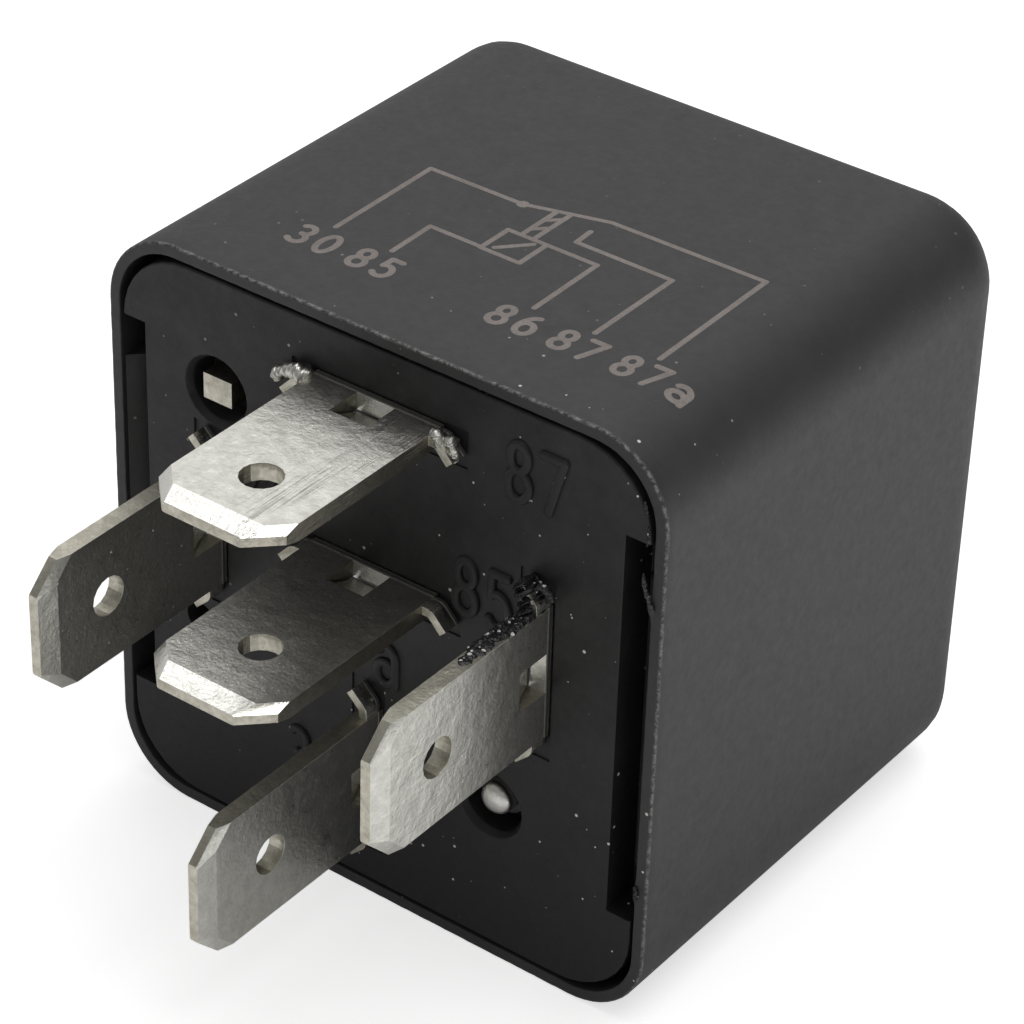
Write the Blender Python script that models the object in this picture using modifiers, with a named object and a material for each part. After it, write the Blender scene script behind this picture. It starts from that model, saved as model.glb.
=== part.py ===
"""A plug-in changeover relay with five flat blades, lying on one side.

The middle of the seating face is the origin. The blades leave it towards -Y, the case closes
at +Y, and the marked side of the case looks up. The magnet stands on the base inside the case:
a coil on an iron core, an L-shaped yoke, and a hinged armature whose leaf spring swings the
moving contact from the contact of 87a to the contact of 87.
"""

import math
from collections import namedtuple

import bmesh
import bpy
from mathutils import Matrix
from mathutils import Vector

MM = 0.001

# Case: a deep moulded can, open at Y = 0
CASE_SIDE = 28.0 * MM
CASE_DEPTH = 24.5 * MM
CASE_CORNER = 3.6 * MM
CASE_END_ROUND = 1.8 * MM
CASE_WALL = 1.0 * MM
RIM_WALL = 0.55 * MM
RIB_END_PLAY = 2.2 * MM
RIB_TIP_PLAY = 0.4 * MM
RIB_FRONT = 0.25 * MM
RIB_BACK = 1.65 * MM
RIB_LAND = 0.4 * MM

# Base: the moulded header that the blades stand in
BASE_THICK = 3.2 * MM
BASE_CORNER_EASE = 0.5 * MM
BASE_EDGE = 0.12 * MM
RIM_GAP = 0.15 * MM
NOTCH_LENGTH = 18.4 * MM
NOTCH_DEPTH = 1.2 * MM
SNAP_RISE = 0.6 * MM
SNAP_PLAY = 0.25 * MM
PIT_RADIUS = 1.45 * MM
PIT_DEPTH = 1.6 * MM
PIT_LIP = 0.2 * MM
PIT_LIP_DEPTH = 0.3 * MM
METAL_RECESS = 0.1 * MM
DIMPLE_X = -9.4 * MM
DIMPLE_Z = -3.8 * MM
DIMPLE_RADIUS = 0.75 * MM
DIMPLE_DEPTH = 1.2 * MM
PAD_WIDTH = 2.2 * MM
PAD_LENGTH = 5.0 * MM

# Blades: tin-plated tabs of the 6.3 by 0.8 size, with the places of their middles on the base
Blade = namedtuple("Blade", "x z upright length")
BLADES = {
    "30": Blade(0.0, -7.2 * MM, True, 11.4 * MM),
    "85": Blade(8.4 * MM, 1.85 * MM, True, 11.0 * MM),
    "86": Blade(-8.4 * MM, 1.85 * MM, True, 11.0 * MM),
    "87": Blade(0.15 * MM, 10.7 * MM, False, 10.6 * MM),
    "87a": Blade(0.0, 2.6 * MM, False, 11.0 * MM),
}
BLADE_WIDTH = 6.3 * MM
BLADE_THICK = 0.8 * MM
TIP_CHAMFER = 1.2 * MM
TIP_TAPER = 1.0 * MM
TIP_THICK = 0.4 * MM
CORNER_TAPER = 0.5 * MM
HOLE_RADIUS = 0.9 * MM
HOLE_FROM_SEAT = 7.1 * MM
ROOT_SHOULDER = 0.45 * MM
ROOT_SWELL = 0.1 * MM
ROOT_SINK = 0.8 * MM
SLOT_PLAY = 0.15 * MM
MOUTH_PLAY = 0.08 * MM
COLLAR_PROUD = 0.15 * MM
COLLAR_SWELL = 0.03 * MM
LANCE_WIDTH = 1.9 * MM
LANCE_LENGTH = 1.9 * MM
LANCE_SILL = 0.2 * MM
LANCE_DROP = 0.7 * MM
LANCE_THICK = 0.6 * MM
LANCE_PLAY = 0.12 * MM
LUG_REACH = 1.05 * MM
LUG_DROP = 0.55 * MM
LUG_LIFT = 0.15 * MM
LUG_THICK = 0.4 * MM
LUG_LENGTH = 0.9 * MM
LUG_BEND = 0.4 * MM

# Straps: the same stock, bent to carry the fixed contacts and the coil's leads
STRAP_THICK = 0.8 * MM
BEND_RADIUS = 0.5 * MM
STRAP_30_LOW = -2.1 * MM
STRAP_30_TO_TAIL = 0.6 * MM
STRAP_87_WIDTH = 4.6 * MM
STRAP_87A_WIDTH = 4.0 * MM
STRAP_87A_MIDDLE = -8.2 * MM
STRAP_87A_Z = 9.6 * MM
STRAP_87A_FOOT = 5.2 * MM
STRAP_87A_TURN = 1.35 * MM
SHELF_REACH = 1.8 * MM
SHELF_CORNER = 0.6 * MM
ANCHOR_X = -8.3 * MM
ANCHOR_Z = 8.0 * MM
ANCHOR_WIDTH = 1.5 * MM
ANCHOR_THICK = 1.2 * MM
POST_WIDTH = 1.6 * MM
POST_HEIGHT = 5.6 * MM
POST_RISE = 1.75 * MM
POST_NECK = 0.35 * MM

# Magnet: core, bobbin, winding and yoke
POLE_HEADROOM = 6.3 * MM
POLE_RADIUS = 4.6 * MM
POLE_THICK = 0.9 * MM
CORE_RADIUS = 3.0 * MM
TAIL_RADIUS = 2.2 * MM
TAIL_HEAD_RADIUS = 2.8 * MM
TAIL_HEAD_THICK = 0.4 * MM
SPOOL_WALL = 0.8 * MM
FLANGE_LIP = 0.5 * MM
FLANGE_THICK = 0.8 * MM
LAYERS_RADIUS = 5.9 * MM
WIRE_RADIUS = 0.15 * MM
WIRE_PITCH = 0.75 * MM
WIRE_LEAD_ARC = math.radians(70)
YOKE_THICK = 1.5 * MM
YOKE_WIDTH = 15.2 * MM
YOKE_NOSE_WIDTH = 12.0 * MM
YOKE_SHOULDER_Z = -3.5 * MM
YOKE_NOSE_Z = 1.3 * MM
YOKE_TO_COIL = 0.4 * MM
YOKE_BEND = 0.4 * MM
EAR_HEIGHT = 1.5 * MM

# Armature and contacts
CONTACT_Z = 8.3 * MM
CONTACT_GAP = 0.6 * MM
CONTACT_RADIUS = 1.5 * MM
CONTACT_THICK = 0.7 * MM
CONTACT_CROWN = 0.15 * MM
SHANK_RADIUS = 0.8 * MM
ARMATURE_WIDTH = 12.0 * MM
ARMATURE_THICK = 1.6 * MM
ARMATURE_LENGTH = 14.0 * MM
ARMATURE_CHAMFER = 1.6 * MM
LEAF_THICK = 0.25 * MM
LEAF_WIDTH = 8.0 * MM
LEAF_NECK_WIDTH = 5.0 * MM
LEAF_NECK_Z = 4.2 * MM
LEAF_END = 1.7 * MM
LEAF_BULGE = 1.35 * MM
LEAF_TO_CASE = 0.45 * MM
LEAF_BEND = 1.3 * MM
LEAF_BOW = 3.9 * MM
LEAF_TAIL = 0.9 * MM

# Rivets
RIVET_RADIUS = 0.7 * MM
RIVET_HEAD_RADIUS = 1.3 * MM
RIVET_CROWN_RADIUS = 0.85 * MM
RIVET_HEAD_THICK = 0.5 * MM
RIVET_SPREAD = 5.2 * MM
ARMATURE_RIVET_Z = -1.2 * MM
YOKE_RIVET_DROP = 6.8 * MM
FRAME_RIVET_X = 6.1 * MM
FRAME_RIVET_Z = -6.1 * MM
FRAME_RIVET_RADIUS = 0.75 * MM
FRAME_RIVET_COLLAR = 1.05 * MM
FRAME_RIVET_DOME = 0.4 * MM
SOLDER_RADIUS = 0.75 * MM
SOLDER_HEIGHT = 0.45 * MM

# Clearances
SEATED = 0.1 * MM
PRESSED = 0.05 * MM
EAR_PLAY = 0.3 * MM
CUT_OVER = 1.0 * MM
OVERLAP = 0.2 * MM

# Sizes that follow from those above
BASE_SIDE = CASE_SIDE - 2 * (RIM_WALL + RIM_GAP)
BASE_CORNER = CASE_CORNER - RIM_WALL + BASE_CORNER_EASE
RIB_LENGTH = NOTCH_LENGTH - 2 * RIB_END_PLAY
RIB_REACH = NOTCH_DEPTH + RIM_GAP - RIB_TIP_PLAY
ROOT_WIDTH = BLADE_WIDTH + 2 * ROOT_SHOULDER
ROOT_THICK = BLADE_THICK + 2 * ROOT_SWELL
WIRE_PATH_RADIUS = LAYERS_RADIUS + SEATED + WIRE_RADIUS
FLANGE_RADIUS = WIRE_PATH_RADIUS + WIRE_RADIUS + FLANGE_LIP

# The magnet stands as near the case's lower wall as the bow of the leaf spring lets it
YOKE_BACK_Z = CASE_WALL - CASE_SIDE / 2 + LEAF_TO_CASE + LEAF_BULGE + LEAF_THICK + PRESSED
COIL_Z = YOKE_BACK_Z + YOKE_THICK + YOKE_TO_COIL + FLANGE_RADIUS
STRAP_30_EDGE = COIL_Z - TAIL_HEAD_RADIUS - STRAP_30_TO_TAIL

# Levels counted from the seating face
STRAP_LOW = BASE_THICK + SEATED
STRAP_HIGH = STRAP_LOW + STRAP_THICK
POLE_FACE = CASE_DEPTH - CASE_WALL - POLE_HEADROOM
YOKE_LOW = STRAP_HIGH + SEATED
YOKE_HIGH = YOKE_LOW + YOKE_THICK
SPOOL_LOW = YOKE_HIGH + SEATED
SPOOL_HIGH = POLE_FACE - POLE_THICK - SEATED
WINDING_LOW = SPOOL_LOW + FLANGE_THICK + SEATED
WINDING_HIGH = SPOOL_HIGH - FLANGE_THICK - SEATED
LEAD_LEVEL = WINDING_LOW + WIRE_PITCH / 2
HELIX_LOW = LEAD_LEVEL + WIRE_PITCH
WIRE_TURNS = int((WINDING_HIGH - WIRE_RADIUS - HELIX_LOW) / WIRE_PITCH)
YOKE_RIVET_Y = POLE_FACE - YOKE_RIVET_DROP

# The closed armature lies flat on the pole. Heights on it are counted from the hinge line,
# the outer edge of the yoke's upright leg, and it rests swung open by the contact gap.
HINGE = Vector((0.0, POLE_FACE, YOKE_BACK_Z))
CONTACT_ARM = CONTACT_Z - YOKE_BACK_Z
OPEN_ANGLE = math.asin(CONTACT_GAP / CONTACT_ARM)
ARMATURE_LOW = PRESSED
ARMATURE_HIGH = ARMATURE_LOW + ARMATURE_THICK
LEAF_LOW = ARMATURE_HIGH + PRESSED
LEAF_HIGH = LEAF_LOW + LEAF_THICK
CONTACT_UNDER = LEAF_LOW - PRESSED - CONTACT_THICK - CONTACT_CROWN
CONTACT_OVER = LEAF_HIGH + PRESSED + CONTACT_THICK + CONTACT_CROWN
OPEN_FACE = POLE_FACE + CONTACT_UNDER - PRESSED
SHELF_87_HIGH = OPEN_FACE - CONTACT_THICK - PRESSED
CLOSED_FACE = (
    POLE_FACE
    + CONTACT_OVER * math.cos(OPEN_ANGLE)
    + CONTACT_ARM * math.sin(OPEN_ANGLE)
    + PRESSED
)
SHELF_87A_LOW = CLOSED_FACE + CONTACT_THICK + PRESSED

# Fineness of the round forms
SMALL_STEPS = 16
ROUND_STEPS = 24
BROAD_STEPS = 32
CORNER_STEPS = 8
BEND_STEPS = 4
EDGE_STEPS = 2
CROWN_STEPS = 3
DOME_STEPS = 4
TURN_POINTS = 24
LEAD_POINTS = 8
CORNER_ROOM = 0.49
WELD = 1e-8
FLATNESS = math.radians(0.5)
SMOOTH_UNDER = math.radians(35)
PIVOT_SIZE = 2 * MM


# Collections, finishes and small helpers


def clear_scene():
    """Leaves an empty scene to build in."""
    for old in list(bpy.data.objects):
        bpy.data.objects.remove(old, do_unlink=True)


def new_collection(name):
    """A collection linked to the scene."""
    collection = bpy.data.collections.new(name)
    bpy.context.scene.collection.children.link(collection)
    return collection


def finish(name, colour, roughness, metallic):
    """A plain surface finish."""
    material = bpy.data.materials.new(name)
    material.use_nodes = True
    shader = material.node_tree.nodes["Principled BSDF"]
    shader.inputs["Base Color"].default_value = (*colour, 1.0)
    shader.inputs["Roughness"].default_value = roughness
    shader.inputs["Metallic"].default_value = metallic
    return material


def pivot(name, place):
    """An empty that carries a body of the relay."""
    empty = bpy.data.objects.new(name, None)
    empty.location = place
    empty.empty_display_size = PIVOT_SIZE
    parts.objects.link(empty)
    return empty


def piece(name, mesh, material, carrier):
    """A finished sub-part, shaded smooth except across its real edges."""
    mesh.name = name
    mesh.materials.clear()
    mesh.materials.append(material)
    mesh.shade_smooth()
    mesh.set_sharp_from_angle(angle=SMOOTH_UNDER)
    obj = bpy.data.objects.new(name, mesh)
    obj.parent = carrier
    parts.objects.link(obj)
    return obj


def tool(name, mesh, carrier=None):
    """A helper solid, kept out of renders, that cuts or joins a sub-part."""
    mesh.name = name
    obj = bpy.data.objects.new(name, mesh)
    obj.parent = carrier
    obj.hide_render = True
    obj.display_type = "WIRE"
    tools.objects.link(obj)
    return obj


def combine(target, other, operation):
    """Adds a live Boolean of two solids to the target."""
    modifier = target.modifiers.new(other.name, "BOOLEAN")
    modifier.operation = operation
    modifier.solver = "EXACT"
    modifier.object = other


def cut(target, name, mesh):
    """Takes a solid away from a sub-part."""
    combine(target, tool(f"{target.name}_{name}", mesh, target.parent), "DIFFERENCE")


def join(target, name, mesh):
    """Adds a solid to a sub-part."""
    combine(target, tool(f"{target.name}_{name}", mesh, target.parent), "UNION")


def trim(target, name, mesh):
    """Keeps only what a sub-part shares with a solid."""
    combine(target, tool(f"{target.name}_{name}", mesh, target.parent), "INTERSECT")


def soften(obj, width, steps):
    """Rounds the edges that carry a bevel weight."""
    modifier = obj.modifiers.new("rounding", "BEVEL")
    modifier.limit_method = "WEIGHT"
    modifier.width = width
    modifier.segments = steps


def weigh_edges(mesh, chosen):
    """Gives a bevel weight of one to each edge whose two ends pass a test."""
    weights = mesh.attributes.new("bevel_weight_edge", "FLOAT", "EDGE")
    for edge in mesh.edges:
        ends = [mesh.vertices[index].co for index in edge.vertices]
        weights.data[edge.index].value = float(all(chosen(end) for end in ends))


# Outlines


def rounded(points, radius, steps=BEND_STEPS, closed=True):
    """A path whose corners are arcs, each as large as its neighbours leave room for."""
    corners = [Vector(point) for point in points]
    count = len(corners)
    path = []
    for index, corner in enumerate(corners):
        if not closed and index in (0, count - 1):
            path.append(corner)
            continue
        back = corners[index - 1] - corner
        ahead = corners[(index + 1) % count] - corner
        half = back.angle(ahead) / 2
        reach = min(radius / math.tan(half), CORNER_ROOM * back.length, CORNER_ROOM * ahead.length)
        start = corner + reach * back.normalized()
        middle = corner + (reach / math.cos(half)) * (back.normalized() + ahead.normalized()).normalized()
        turn = math.copysign(math.pi - 2 * half, ahead.cross(back))
        for step in range(steps + 1):
            path.append(middle + Matrix.Rotation(turn * step / steps, 2) @ (start - middle))
    return path


def rectangle(low_u, high_u, low_v, high_v):
    """The corners of a rectangle."""
    return [(low_u, low_v), (high_u, low_v), (high_u, high_v), (low_u, high_v)]


def square(side, corner):
    """A square with round corners about the origin."""
    half = side / 2
    return rounded(rectangle(-half, half, -half, half), corner, CORNER_STEPS)


def ribbon(path, thick):
    """The outline of a strip of even thickness along a path."""
    points = [Vector(point) for point in path]
    left = []
    right = []
    for index, point in enumerate(points):
        before = points[max(index - 1, 0)]
        after = points[min(index + 1, len(points) - 1)]
        along = (after - before).normalized()
        side = Vector((-along.y, along.x)) * thick / 2
        left.append(point + side)
        right.append(point - side)
    return left + right[::-1]


# Solids


PLANES = {
    "XY": Matrix(((1, 0, 0), (0, 1, 0), (0, 0, 1))),
    "XZ": Matrix(((1, 0, 0), (0, 0, 1), (0, 1, 0))),
    "YZ": Matrix(((0, 0, 1), (1, 0, 0), (0, 1, 0))),
}


def evaluated_mesh(obj):
    """An object's mesh as its modifiers or its curve leave it. The object is removed."""
    bpy.context.scene.collection.objects.link(obj)
    graph = bpy.context.evaluated_depsgraph_get()
    mesh = bpy.data.meshes.new_from_object(obj.evaluated_get(graph))
    bpy.data.objects.remove(obj, do_unlink=True)
    return mesh


def placed(mesh, turn, shift):
    """A mesh turned, moved and closed, with its faces looking out."""
    work = bmesh.new()
    work.from_mesh(mesh)
    bmesh.ops.transform(work, matrix=Matrix.Translation(shift) @ turn.to_4x4(), verts=work.verts)
    bmesh.ops.remove_doubles(work, verts=work.verts, dist=WELD)
    bmesh.ops.dissolve_degenerate(work, edges=work.edges, dist=WELD)
    bmesh.ops.dissolve_limit(work, angle_limit=FLATNESS, verts=work.verts, edges=work.edges)
    bmesh.ops.recalc_face_normals(work, faces=work.faces)
    work.to_mesh(mesh)
    work.free()
    return mesh


def plate(plane, loops, low, high):
    """A flat outline, with any holes, given its thickness from low to high across its plane."""
    curve = bpy.data.curves.new("outline", "CURVE")
    curve.dimensions = "2D"
    curve.fill_mode = "BOTH"
    curve.extrude = (high - low) / 2
    for loop in loops:
        spline = curve.splines.new("POLY")
        spline.points.add(len(loop) - 1)
        for point, place in zip(spline.points, loop):
            point.co = (place[0], place[1], 0, 1)
        spline.use_cyclic_u = True
    mesh = evaluated_mesh(bpy.data.objects.new("outline", curve))
    turn = PLANES[plane]
    return placed(mesh, turn, turn @ Vector((0, 0, (low + high) / 2)))


def block(low, high):
    """A box between two corners."""
    return plate("XY", [rectangle(low[0], high[0], low[1], high[1])], low[2], high[2])


def turned(profile, axis, centre, steps=ROUND_STEPS):
    """A solid of revolution from (radius, height) points, its heights along an axis."""
    mesh = bpy.data.meshes.new("profile")
    count = len(profile)
    edges = [(index, (index + 1) % count) for index in range(count)]
    if min(profile[0][0], profile[-1][0]) == 0:
        edges.pop()
    mesh.from_pydata([(radius, 0, height) for radius, height in profile], edges, [])
    obj = bpy.data.objects.new("profile", mesh)
    screw = obj.modifiers.new("turning", "SCREW")
    screw.steps = steps
    screw.render_steps = steps
    screw.use_merge_vertices = True
    screw.merge_threshold = WELD
    turn = {"X": PLANES["YZ"], "Y": PLANES["XZ"], "Z": PLANES["XY"]}[axis]
    return placed(evaluated_mesh(obj), turn, Vector(centre))


def drum(radius, low, high, axis, centre, steps=ROUND_STEPS):
    """A plain cylinder."""
    return turned([(0, high), (radius, high), (radius, low), (0, low)], axis, centre, steps)


def crown(radius, rim, peak):
    """Points of a shallow round crown, from the middle to the edge of a contact's face."""
    shares = [step / CROWN_STEPS for step in range(CROWN_STEPS + 1)]
    return [(radius * share, peak + (rim - peak) * share * share) for share in shares]


# Case and base


def make_case():
    """A can with round edges, stepped at the rim for the base, and two snap ribs inside."""
    shell = plate("XZ", [square(CASE_SIDE, CASE_CORNER)], 0, CASE_DEPTH)
    weigh_edges(shell, lambda end: end.y > CASE_DEPTH / 2)
    case = piece("case", shell, black_plastic, frame)
    soften(case, CASE_END_ROUND, BEND_STEPS)
    inside = plate(
        "XZ",
        [square(CASE_SIDE - 2 * CASE_WALL, CASE_CORNER - CASE_WALL)],
        -CUT_OVER,
        CASE_DEPTH - CASE_WALL,
    )
    weigh_edges(inside, lambda end: end.y > CASE_DEPTH / 2)
    hollow = tool("case_hollow", inside, frame)
    soften(hollow, CASE_END_ROUND - CASE_WALL, EDGE_STEPS)
    combine(case, hollow, "DIFFERENCE")
    seat = square(CASE_SIDE - 2 * RIM_WALL, CASE_CORNER - RIM_WALL)
    cut(case, "seat", plate("XZ", [seat], -CUT_OVER, BASE_THICK + SEATED))
    for side, name in ((1, "right"), (-1, "left")):
        wall = CASE_SIDE / 2 - RIM_WALL
        rib = [
            (side * (wall + RIM_WALL / 2), RIB_FRONT),
            (side * wall, RIB_FRONT),
            (side * (wall - RIB_REACH), RIB_BACK - RIB_LAND),
            (side * (wall - RIB_REACH), RIB_BACK),
            (side * (wall + RIM_WALL / 2), RIB_BACK),
        ]
        low = SNAP_RISE - RIB_LENGTH / 2
        join(case, f"rib_{name}", plate("XY", [rib], low, low + RIB_LENGTH))
    return case


def make_base():
    """A thick plate with stepped blade slots in shallow seats for the blades' lugs, side notches
    for the snap ribs, pits and a pad."""
    header = plate("XZ", [square(BASE_SIDE, BASE_CORNER)], 0, BASE_THICK)
    weigh_edges(header, lambda end: end.y < BASE_THICK / 2)
    base = piece("base", header, base_plastic, frame)
    soften(base, BASE_EDGE, EDGE_STEPS)
    for name, blade in BLADES.items():
        half_width = BLADE_WIDTH / 2 + MOUTH_PLAY
        half_thick = BLADE_THICK / 2 + MOUTH_PLAY
        mouth = across(blade, rectangle(-half_width, half_width, -half_thick, half_thick))
        cut(base, f"mouth_{name}", plate("XZ", [mouth], -CUT_OVER, BASE_THICK))
        reach = BLADE_WIDTH / 2 + LUG_REACH + LUG_THICK / 2
        low = -max(LUG_DROP + LUG_THICK, LANCE_DROP + LANCE_THICK / 2 + LANCE_PLAY)
        seat = across(blade, rectangle(-reach, reach, low, BLADE_THICK / 2 + OVERLAP))
        cut(base, f"seat_{name}", plate("XZ", [seat], -CUT_OVER, SEATED))
        half_width = ROOT_WIDTH / 2 + SLOT_PLAY
        half_thick = ROOT_THICK / 2 + SLOT_PLAY
        slot = across(blade, rectangle(-half_width, half_width, -half_thick, half_thick))
        cut(base, f"slot_{name}", plate("XZ", [slot], ROOT_SINK - SEATED, BASE_THICK + CUT_OVER))
    for way, name in ((1, "right"), (-1, "left")):
        inner = BASE_SIDE / 2 - NOTCH_DEPTH
        notch = [
            (way * inner, SNAP_RISE - NOTCH_LENGTH / 2),
            (way * (inner + NOTCH_DEPTH + CUT_OVER), SNAP_RISE - NOTCH_LENGTH / 2),
            (way * (inner + NOTCH_DEPTH + CUT_OVER), SNAP_RISE + NOTCH_LENGTH / 2),
            (way * inner, SNAP_RISE + NOTCH_LENGTH / 2),
        ]
        cut(base, f"notch_{name}", plate("XZ", [notch], -CUT_OVER, RIB_BACK + SNAP_PLAY))
    pits = (
        ("anchor", ANCHOR_X, ANCHOR_Z, math.hypot(ANCHOR_WIDTH, ANCHOR_THICK) / 2 + PRESSED),
        ("rivet", FRAME_RIVET_X, FRAME_RIVET_Z, FRAME_RIVET_RADIUS + PRESSED),
    )
    for name, x, z, through in pits:
        lip = PIT_RADIUS + PIT_LIP
        profile = [
            (0, BASE_THICK + CUT_OVER),
            (through, BASE_THICK + CUT_OVER),
            (through, PIT_DEPTH),
            (PIT_RADIUS, PIT_DEPTH),
            (PIT_RADIUS, PIT_LIP_DEPTH),
            (lip, 0),
            (lip, -CUT_OVER),
            (0, -CUT_OVER),
        ]
        cut(base, f"pit_{name}", turned(profile, "Y", (x, 0, z)))
    centre = (DIMPLE_X, 0, DIMPLE_Z)
    cut(base, "dimple", drum(DIMPLE_RADIUS, -CUT_OVER, DIMPLE_DEPTH, "Y", centre, SMALL_STEPS))
    low = (-FRAME_RIVET_X - PAD_WIDTH / 2, BASE_THICK - OVERLAP, FRAME_RIVET_Z - PAD_LENGTH / 2)
    high = (-FRAME_RIVET_X + PAD_WIDTH / 2, YOKE_LOW - SEATED, FRAME_RIVET_Z + PAD_LENGTH / 2)
    join(base, "pad", block(low, high))
    return base


# Terminals


def across(blade, points):
    """Blade width and thickness offsets, as places on the base."""
    if blade.upright:
        return [(blade.x + thick, blade.z + wide) for wide, thick in points]
    return [(blade.x + wide, blade.z + thick) for wide, thick in points]


def broad_side(blade, points, half_thick):
    """A blade's flat outline of (width, length) points, given an even thickness."""
    if blade.upright:
        outline = [(y, blade.z + wide) for wide, y in points]
        return plate("YZ", [outline], blade.x - half_thick, blade.x + half_thick)
    outline = [(blade.x + wide, y) for wide, y in points]
    return plate("XY", [outline], blade.z - half_thick, blade.z + half_thick)


def edge_side(blade, points, half_width):
    """A blade's edge view of (thickness, length) points, given an even width."""
    if blade.upright:
        outline = [(blade.x + thick, y) for thick, y in points]
        return plate("XY", [outline], blade.z - half_width, blade.z + half_width)
    outline = [(y, blade.z + thick) for thick, y in points]
    return plate("YZ", [outline], blade.x - half_width, blade.x + half_width)


def corner_side(blade, side):
    """The tip's taper carried round a chamfered corner: an edge view turned to look along it."""
    slope = (BLADE_THICK - TIP_THICK) / CORNER_TAPER / 2
    thin = TIP_THICK / 2 - slope * OVERLAP
    edge = [
        (-BLADE_THICK / 2, CASE_SIDE),
        (-BLADE_THICK / 2, CORNER_TAPER),
        (-thin, -OVERLAP),
        (thin, -OVERLAP),
        (BLADE_THICK / 2, CORNER_TAPER),
        (BLADE_THICK / 2, CASE_SIDE),
    ]
    aside = side * (BLADE_WIDTH / 2 - TIP_CHAMFER / 2)
    along = TIP_CHAMFER / 2 - blade.length
    turn = side * math.pi / 4
    if blade.upright:
        mesh = plate("XY", [edge], -CASE_SIDE, CASE_SIDE)
        place = Vector((blade.x, along, blade.z + aside))
        return placed(mesh, Matrix.Rotation(-turn, 3, "X"), place)
    mesh = plate("YZ", [[(y, thick) for thick, y in edge]], -CASE_SIDE, CASE_SIDE)
    place = Vector((blade.x + aside, along, blade.z))
    return placed(mesh, Matrix.Rotation(turn, 3, "Z"), place)


def make_terminal(name):
    """A blade with a chamfered, tapered tip, a detent hole, a lance, two lugs bent against the
    base, a collar in the slot's mouth, and a thicker root behind it."""
    blade = BLADES[name]
    half = BLADE_WIDTH / 2
    tip = -blade.length
    outline = [
        (-half, BASE_THICK / 2),
        (-half, tip + TIP_CHAMFER),
        (-half + TIP_CHAMFER, tip),
        (half - TIP_CHAMFER, tip),
        (half, tip + TIP_CHAMFER),
        (half, BASE_THICK / 2),
    ]
    body = broad_side(blade, outline, BLADE_THICK)
    terminal = piece(f"terminal_{name}", body, tinned_brass, frame)
    edge = [
        (-BLADE_THICK / 2, BASE_THICK),
        (-BLADE_THICK / 2, tip + TIP_TAPER),
        (-TIP_THICK / 2, tip - CUT_OVER * (BLADE_THICK - TIP_THICK) / TIP_TAPER / 2),
        (TIP_THICK / 2, tip - CUT_OVER * (BLADE_THICK - TIP_THICK) / TIP_TAPER / 2),
        (BLADE_THICK / 2, tip + TIP_TAPER),
        (BLADE_THICK / 2, BASE_THICK),
    ]
    trim(terminal, "edge", edge_side(blade, edge, BLADE_WIDTH))
    for side, corner in ((1, "right"), (-1, "left")):
        trim(terminal, f"corner_{corner}", corner_side(blade, side))
    axis = "X" if blade.upright else "Z"
    centre = (blade.x, -HOLE_FROM_SEAT, blade.z)
    hole = drum(HOLE_RADIUS, -BLADE_THICK, BLADE_THICK, axis, centre, SMALL_STEPS)
    cut(terminal, "hole", hole)
    window = rectangle(-LANCE_WIDTH / 2, LANCE_WIDTH / 2, -LANCE_LENGTH, -LANCE_SILL)
    cut(terminal, "window", broad_side(blade, window, BLADE_THICK))
    stock = LANCE_THICK / 2
    lance = [
        (stock, -LANCE_LENGTH - OVERLAP),
        (stock - LANCE_DROP, -LANCE_SILL - LANCE_PLAY),
        (-stock - LANCE_DROP, -LANCE_SILL - LANCE_PLAY),
        (-stock, -LANCE_LENGTH - OVERLAP),
    ]
    join(terminal, "lance", edge_side(blade, lance, LANCE_WIDTH / 2 - LANCE_PLAY))
    wide = ROOT_WIDTH / 2
    root = rectangle(-wide, wide, ROOT_SINK, BASE_THICK)
    join(terminal, "root", broad_side(blade, root, ROOT_THICK / 2))
    wide = half + COLLAR_SWELL
    collar = rectangle(-wide, wide, -COLLAR_PROUD, ROOT_SINK + OVERLAP)
    join(terminal, "collar", broad_side(blade, collar, BLADE_THICK / 2 + COLLAR_SWELL))
    path = [
        (half - OVERLAP, LUG_LIFT),
        (half + LUG_BEND, LUG_LIFT),
        (half + LUG_REACH, -LUG_DROP),
    ]
    lug = ribbon(rounded(path, LUG_BEND, closed=False), LUG_THICK)
    for side, end in ((1, "right"), (-1, "left")):
        section = across(blade, [(side * out, thick) for out, thick in lug])
        join(terminal, f"lug_{end}", plate("XZ", [section], -LUG_LENGTH, 0))
    return terminal


def make_terminal_30():
    """The common blade, whose flange lies under the yoke's foot and takes the frame rivet."""
    terminal = make_terminal("30")
    blade = BLADES["30"]
    boss = RIVET_HEAD_RADIUS + OVERLAP
    left = blade.x - STRAP_THICK / 2
    low = blade.z + STRAP_30_LOW
    high = STRAP_30_EDGE
    top = STRAP_HIGH - PRESSED
    neck = rectangle(STRAP_30_LOW, STRAP_30_EDGE - blade.z, BASE_THICK / 2, top)
    join(terminal, "neck", broad_side(blade, neck, STRAP_THICK / 2))
    flange = [
        (left, low),
        (FRAME_RIVET_X / 2, low),
        (FRAME_RIVET_X + boss, FRAME_RIVET_Z - boss),
        (FRAME_RIVET_X + boss, FRAME_RIVET_Z + boss),
        (FRAME_RIVET_X - boss, FRAME_RIVET_Z + boss),
        (FRAME_RIVET_X / 2, high),
        (left, high),
    ]
    join(terminal, "flange", plate("XZ", [flange], STRAP_LOW, top))
    centre = (FRAME_RIVET_X, 0, FRAME_RIVET_Z)
    cut(terminal, "eye", drum(FRAME_RIVET_RADIUS + PRESSED, 0, YOKE_LOW, "Y", centre, SMALL_STEPS))


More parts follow.
